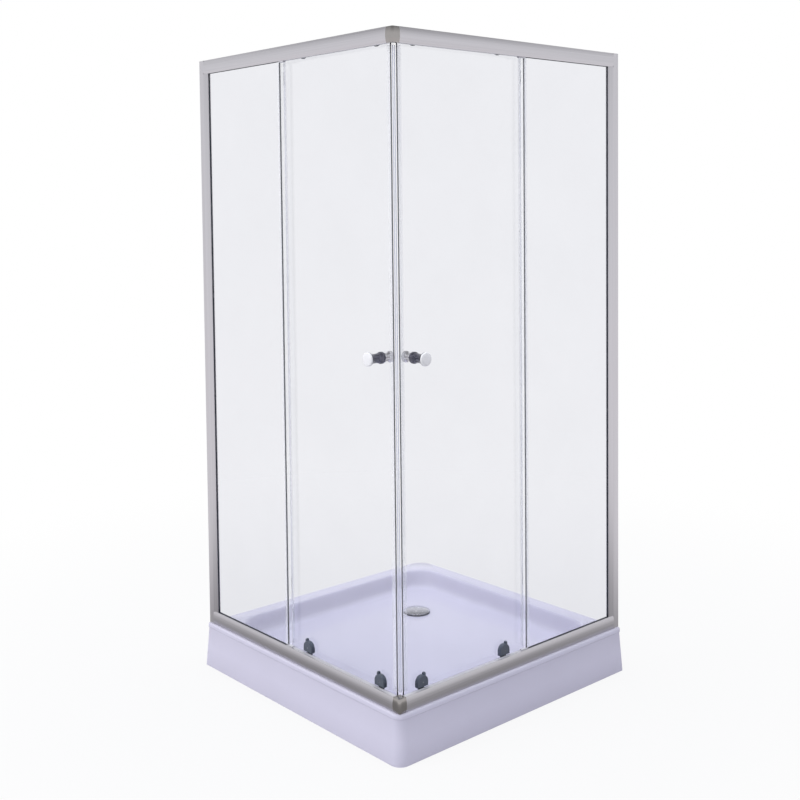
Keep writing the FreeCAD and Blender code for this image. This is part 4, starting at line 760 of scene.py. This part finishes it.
def nub_line(tuck):
    """The outline of a thumb nub, made smaller by a tuck."""
    left, right, front, back = NUB_LEFT + tuck, NUB_RIGHT - tuck, HEAD_FRONT + tuck, SLIDER_BACK - tuck
    return soften([(left, front), (right, front), (right, back), (left, back)], 1.2, 3, closed=True)


def screw_head(radius, rise):
    """A pan head with a cross slot, seen along Z."""
    crown = through([(radius, 0.0), (radius * 0.96, rise * 0.45), (radius * 0.7, rise * 0.85), (0.0, rise)], 3)
    length, width = radius * 0.62, radius * 0.09
    section = ((-length, -width), (length, -width), (length, width), (-length, width))
    slot = stacked([[(x, y, z) for x, y in section] for z in (rise * 0.55, rise * 1.03)])
    return turned(crown, 28), [slot, placed(slot, Matrix.Rotation(math.radians(90), 4, "Z"))]


def helix(radius, wire, low, high, turns, steps=18, sides=8):
    """A coil spring about Z with flat end turns."""
    rings, count = [], int(turns * steps)
    for n in range(count + 1):
        turn = n / steps
        eased = min(max((turn - 0.75) / (turns - 1.5), 0.0), 1.0)
        z = low + wire + (high - low - 2 * wire) * eased
        angle = 2 * math.pi * turn
        ring = []
        for k in range(sides):
            a = 2 * math.pi * k / sides
            r = radius - wire + wire * math.cos(a)
            ring.append((r * math.cos(angle), r * math.sin(angle), z + wire * math.sin(a)))
        rings.append(ring)
    return stacked(rings)


face_plate = stacked([
    [(x, y, -HOUSING_FRONT - behind) for x, y in housing_line(tuck)] for tuck, behind in FACE_ROWS
])
nub_form = stacked([[(x, y, level) for x, y in nub_line(tuck)] for level, tuck in NUB_ROWS])
screw, screw_slots = screw_head(SCREW_RADIUS, SCREW_RISE)
coil = helix(SPRING_RADIUS, SPRING_WIRE, SPRING_LOW, SPRING_HIGH, SPRING_TURNS)

for face in FACES:
    door = face + "_door"
    mounts, caps, housings, bosses = [], [], [], []
    for number, x in ROLLERS:
        # wheels, grooved, one above and one below
        top_axle = at(face, x, 0, HEIGHT / MM - AXLE_HEIGHT, INTO_CABIN)
        for level, place in (("top", top_axle), ("bottom", at(face, x, 0, AXLE_HEIGHT, INTO_CABIN))):
            name = "%s_%s_wheel_%d" % (face, level, number)
            tyre = mesh_piece(name + "_tyre", [turned(WHEEL, 48, closed=True)], place)
            finish_piece(tyre, name, ACETAL, (name,))
        # eccentric hub of the top wheel: axle in front, bush through the glass, cap inside
        hub_place = at(face, x, 0, HEIGHT / MM - (AXLE_HEIGHT + ECCENTRIC), INTO_CABIN)
        mounts += [placed(axle(HUB_AXLE_END), top_axle), placed(turned(BUSH, 40), hub_place)]
        caps.append(placed(turned(HUB_CAP, 56), hub_place))
        # quick-release housing: a dome-topped shell, open at its back, with boss and cap through the glass
        front_place = at(face, x, 0, 0, TO_DEPTH)
        outline = soften(housing_line(), 0.8, 2, closed=True)
        shell = drawn("%s_roller_housing_%d" % (face, number), [outline, HOUSING_ROOM], -HOUSING_BACK,
                      -HOUSING_FRONT - HOUSING_WALL, front_place, SLIDER_EDGE)
        replaced = (face + "_roller_housings",) if number == 1 else ()
        finish_piece(shell, door, SLATE, replaced, angle=30)
        plate = mesh_piece("%s_roller_face_%d" % (face, number), [face_plate], front_place)
        finish_piece(plate, door, SLATE, angle=30)
        boss_place = at(face, x, 0, BOSS_HEIGHT, INTO_CABIN)
        bosses.append(placed(turned(BOSS, 24), boss_place))
        housings.append(placed(turned(HOUSING_CAP, 44), boss_place))
    hubs = mesh_piece(face + "_hub_axles", mounts)
    finish_piece(hubs, door, ZINC, (face + "_top_roller_mounts",))
    finish_piece(mesh_piece(face + "_hub_caps", caps), door, SLATE)
    finish_piece(mesh_piece(face + "_housing_caps", housings), door, SLATE)
    finish_piece(mesh_piece(face + "_housing_bosses", bosses), door, SLATE)
    for number, x in ROLLERS:
        screw_place = at(face, x, HOUSING_FRONT + SCREW_SEAT, BOSS_HEIGHT + SCREW_ABOVE, TO_DEPTH)
        head = mesh_piece("%s_housing_screw_%d" % (face, number), [screw], screw_place)
        finish_piece(head, door, ZINC)
        slots = mesh_piece("%s_housing_screw_slot_%d" % (face, number), screw_slots, screw_place)
        finish_piece(slots, door, BLACK)

        # release slider: arm with its window, head and thumb nub, and the lower wheel's axle
        body = "%s_release_slider_%d" % (face, number)
        arm = drawn(body + "_arm", [ARM_OUTLINE, ARM_WINDOW], -SLIDER_BACK, -ARM_FRONT,
                    at(face, x, 0, 0, TO_DEPTH), SLIDER_EDGE)
        finish_piece(arm, body, SLATE, (body,), angle=30)
        head = drawn(body + "_head", [HEAD_OUTLINE], HEAD_LOW, HEAD_HIGH, at(face, x), SLIDER_EDGE)
        finish_piece(head, body, SLATE, angle=30)
        nub = mesh_piece(body + "_nub", [nub_form], at(face, x))
        finish_piece(nub, body, SLATE, angle=30)
        low_axle = mesh_piece(body + "_axle", [axle(SLIDER_AXLE_END)], at(face, x, 0, AXLE_HEIGHT, INTO_CABIN))
        finish_piece(low_axle, body, ZINC)

        # return spring between the housing's floor and the slider's head
        name = "%s_release_spring_%d" % (face, number)
        spring = mesh_piece(name + "_coil", [coil], at(face, x + SPRING_X, SPRING_DEPTH, 0))
        finish_piece(spring, door, ZINC, (name,), angle=60)
        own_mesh(spring)

    # knob pair: white cap, waisted outer knob, and the smaller knob inside with its stud through the glass
    place = at(face, KNOB_X, 0, KNOB_HEIGHT, INTO_CABIN)
    outer = mesh_piece(face + "_outer_knob_neck", [turned(OUTER_KNOB, 72)], place)
    # the outer knob's dark chrome is a painted dark reflection
    finish_piece(outer, door, KNOB_PAINTED_REFLECTION, (face + "_outer_knob",))
    cap = mesh_piece(face + "_knob_cap_dome", [turned(KNOB_CAP, 72)], place)
    finish_piece(cap, door, WHITE, (face + "_knob_cap",), angle=50)
    inner = mesh_piece(face + "_inner_knob_turned", [turned(INNER_KNOB, 64)], place)
    finish_piece(inner, door, CHROME, (face + "_inner_knob",))

# ---------------------------------------------------------------- stage
STAGE_HALF = 14.0
# smooth steps as (from, to, level at from, level at to), over metres from the middle or the rise of a ray
# the floor as mirrored is painted darker near the middle: painted shade
FLOOR_MIRRORED_PAINTED_SHADE, FLOOR_SEEN = (0.5, 2.2, 0.36, 1.0), (0.7, 2.6, 0.88, 1.0)
SKY_SOFT, SKY_MIRRORED = (-0.1, 0.9, 0.42, 0.95), (0.14, 0.72, 0.98, 0.34)
LAMP_SIDE = 3.0
CENTRE = (0, 0, 0.9)


def seen_by(tree, first, second, operation="ADD"):
    """A share from two ray kinds: either of them, or the first without the second."""
    path = node(tree, "ShaderNodeLightPath")
    either = node(tree, "ShaderNodeMath", operation=operation, use_clamp=True)
    tree.links.new(path.outputs[first], either.inputs[0])
    tree.links.new(path.outputs[second], either.inputs[1])
    return either.outputs["Value"]


def graded(tree, value, low, high, at_low, at_high):
    """A value run through a smooth step into two levels."""
    step = node(tree, "ShaderNodeMapRange", interpolation_type="SMOOTHSTEP")
    for socket, number in (("From Min", low), ("From Max", high), ("To Min", at_low), ("To Max", at_high)):
        step.inputs[socket].default_value = number
    tree.links.new(value, step.inputs["Value"])
    return step.outputs["Result"]


def lamp(name, place, aim, power, color=(1, 1, 1)):
    """A square lamp aimed at a point; it lights the pieces but shows neither in mirrors nor through glass."""
    data = bpy.data.lights.new(name, "AREA")
    data.shape = "RECTANGLE"
    data.size, data.size_y = LAMP_SIDE, LAMP_SIDE
    data.energy = power
    data.color = color
    made = linked(name, data)
    made.location = place
    made.rotation_euler = (Vector(aim) - Vector(place)).to_track_quat("-Z", "Y").to_euler()
    made.visible_glossy = False
    made.visible_transmission = False


floor_mesh = bpy.data.meshes.new("floor")
floor_mesh.from_pydata(
    [(x * STAGE_HALF, y * STAGE_HALF, 0) for x, y in ((-1, -1), (1, -1), (1, 1), (-1, 1))],
    [], [(0, 1, 2, 3)],
)
floor = linked("floor", floor_mesh)
floor_finish = bpy.data.materials.new("floor_white")
floor_finish.use_nodes = True
tree = floor_finish.node_tree
matt = tree.nodes["Principled BSDF"]
matt.inputs["Base Color"].default_value = (0.56, 0.56, 0.58, 1)
matt.inputs["Roughness"].default_value = 0.9

# the camera sees a white floor with a faint shadow; polished pieces mirror it as a glow painted darker close by,
# painted shade as on a studio floor
spot = node(tree, "ShaderNodeNewGeometry")
reach = node(tree, "ShaderNodeVectorMath", operation="LENGTH")
tree.links.new(spot.outputs["Position"], reach.inputs[0])
away = reach.outputs["Value"]
glow = node(tree, "ShaderNodeEmission", Color=(1, 1, 1, 1), Strength=1.0)
# glowing floor for mirrors, painted darker close by: painted shade
mirrored = node(tree, "ShaderNodeEmission", Color=(0.98, 0.96, 0.99, 1))
tree.links.new(graded(tree, away, *FLOOR_MIRRORED_PAINTED_SHADE), mirrored.inputs["Strength"])
white = node(tree, "ShaderNodeMath", operation="MULTIPLY")
tree.links.new(seen_by(tree, "Is Camera Ray", "Is Transmission Ray"), white.inputs[0])
tree.links.new(graded(tree, away, *FLOOR_SEEN), white.inputs[1])
plain = mixed(tree, white.outputs["Value"], matt.outputs["BSDF"], glow.outputs["Emission"])
in_mirror = seen_by(tree, "Is Glossy Ray", "Is Transmission Ray", "SUBTRACT")
whole = mixed(tree, in_mirror, plain, mirrored.outputs["Emission"])
tree.links.new(whole, tree.nodes["Material Output"].inputs["Surface"])
floor_mesh.materials.append(floor_finish)

# the world is white to the camera, soft light on the pieces, and bright at the horizon in polished ones
world = bpy.data.worlds.new("studio")
bpy.context.scene.world = world
world.use_nodes = True
tree = world.node_tree
place = node(tree, "ShaderNodeTexCoord")
split = node(tree, "ShaderNodeSeparateXYZ")
tree.links.new(place.outputs["Generated"], split.inputs["Vector"])
rise_of = split.outputs["Z"]
soft = tree.nodes["Background"]
soft.inputs["Color"].default_value = (0.93, 0.93, 1.0, 1)
tree.links.new(graded(tree, rise_of, *SKY_SOFT), soft.inputs["Strength"])
mirrored = node(tree, "ShaderNodeBackground", Color=(0.97, 0.97, 1.0, 1))
tree.links.new(graded(tree, rise_of, *SKY_MIRRORED), mirrored.inputs["Strength"])
bright = node(tree, "ShaderNodeBackground", Color=(1, 1, 1, 1), Strength=1.0)
in_mirror = seen_by(tree, "Is Glossy Ray", "Is Transmission Ray", "SUBTRACT")
lit = mixed(tree, in_mirror, soft.outputs["Background"], mirrored.outputs["Background"])
whole = mixed(tree, seen_by(tree, "Is Camera Ray", "Is Transmission Ray"), lit, bright.outputs["Background"])
tree.links.new(whole, tree.nodes["World Output"].inputs["Surface"])

lamp("key", (-1.2, -4.6, 2.8), CENTRE, 106)
lamp("fill", (4.4, 0.6, 2.2), CENTRE, 4, (0.95, 0.96, 1.0))
lamp("top", (0.2, 0.2, 4.6), (0, 0, 0), 112, (0.93, 1.0, 1.0))

# ---------------------------------------------------------------- camera, fitted to the photograph's corners
CAMERA_AZIMUTH, CAMERA_RISE, CAMERA_ROLL = 48.536, 3.048, -0.601
CAMERA_OFFSET = (2.8842, -2.5864, 1.4496)
FOCAL_PIXELS, PHOTO_PIXELS, PHOTO_CENTRE_Y = 1142.5, 800.0, 265.0
azimuth, rise, roll = (math.radians(a) for a in (CAMERA_AZIMUTH, CAMERA_RISE, CAMERA_ROLL))
back = Vector((math.sin(azimuth) * math.cos(rise), -math.cos(azimuth) * math.cos(rise), math.sin(rise)))
right = Vector((math.cos(azimuth), math.sin(azimuth), 0))
up = back.cross(right)
camera_data = bpy.data.cameras.new("camera")
camera_data.sensor_fit = "HORIZONTAL"
camera_data.sensor_width = 36.0
camera_data.lens = FOCAL_PIXELS * camera_data.sensor_width / PHOTO_PIXELS
camera_data.shift_y = -(PHOTO_PIXELS / 2 - PHOTO_CENTRE_Y) / PHOTO_PIXELS
camera_data.clip_end = 60.0
camera = linked("camera", camera_data)
turn = Matrix((right, up, back)).transposed() @ Matrix.Rotation(roll, 3, "Z")
plan_centre = Vector((WALL + SIDE / 2, FRONT + SIDE / 2, RIM))
camera.matrix_world = Matrix.Translation(plan_centre + Vector(CAMERA_OFFSET) * SIDE) @ turn.to_4x4()
bpy.context.scene.camera = camera
bpy.context.scene.view_settings.view_transform = "Standard"
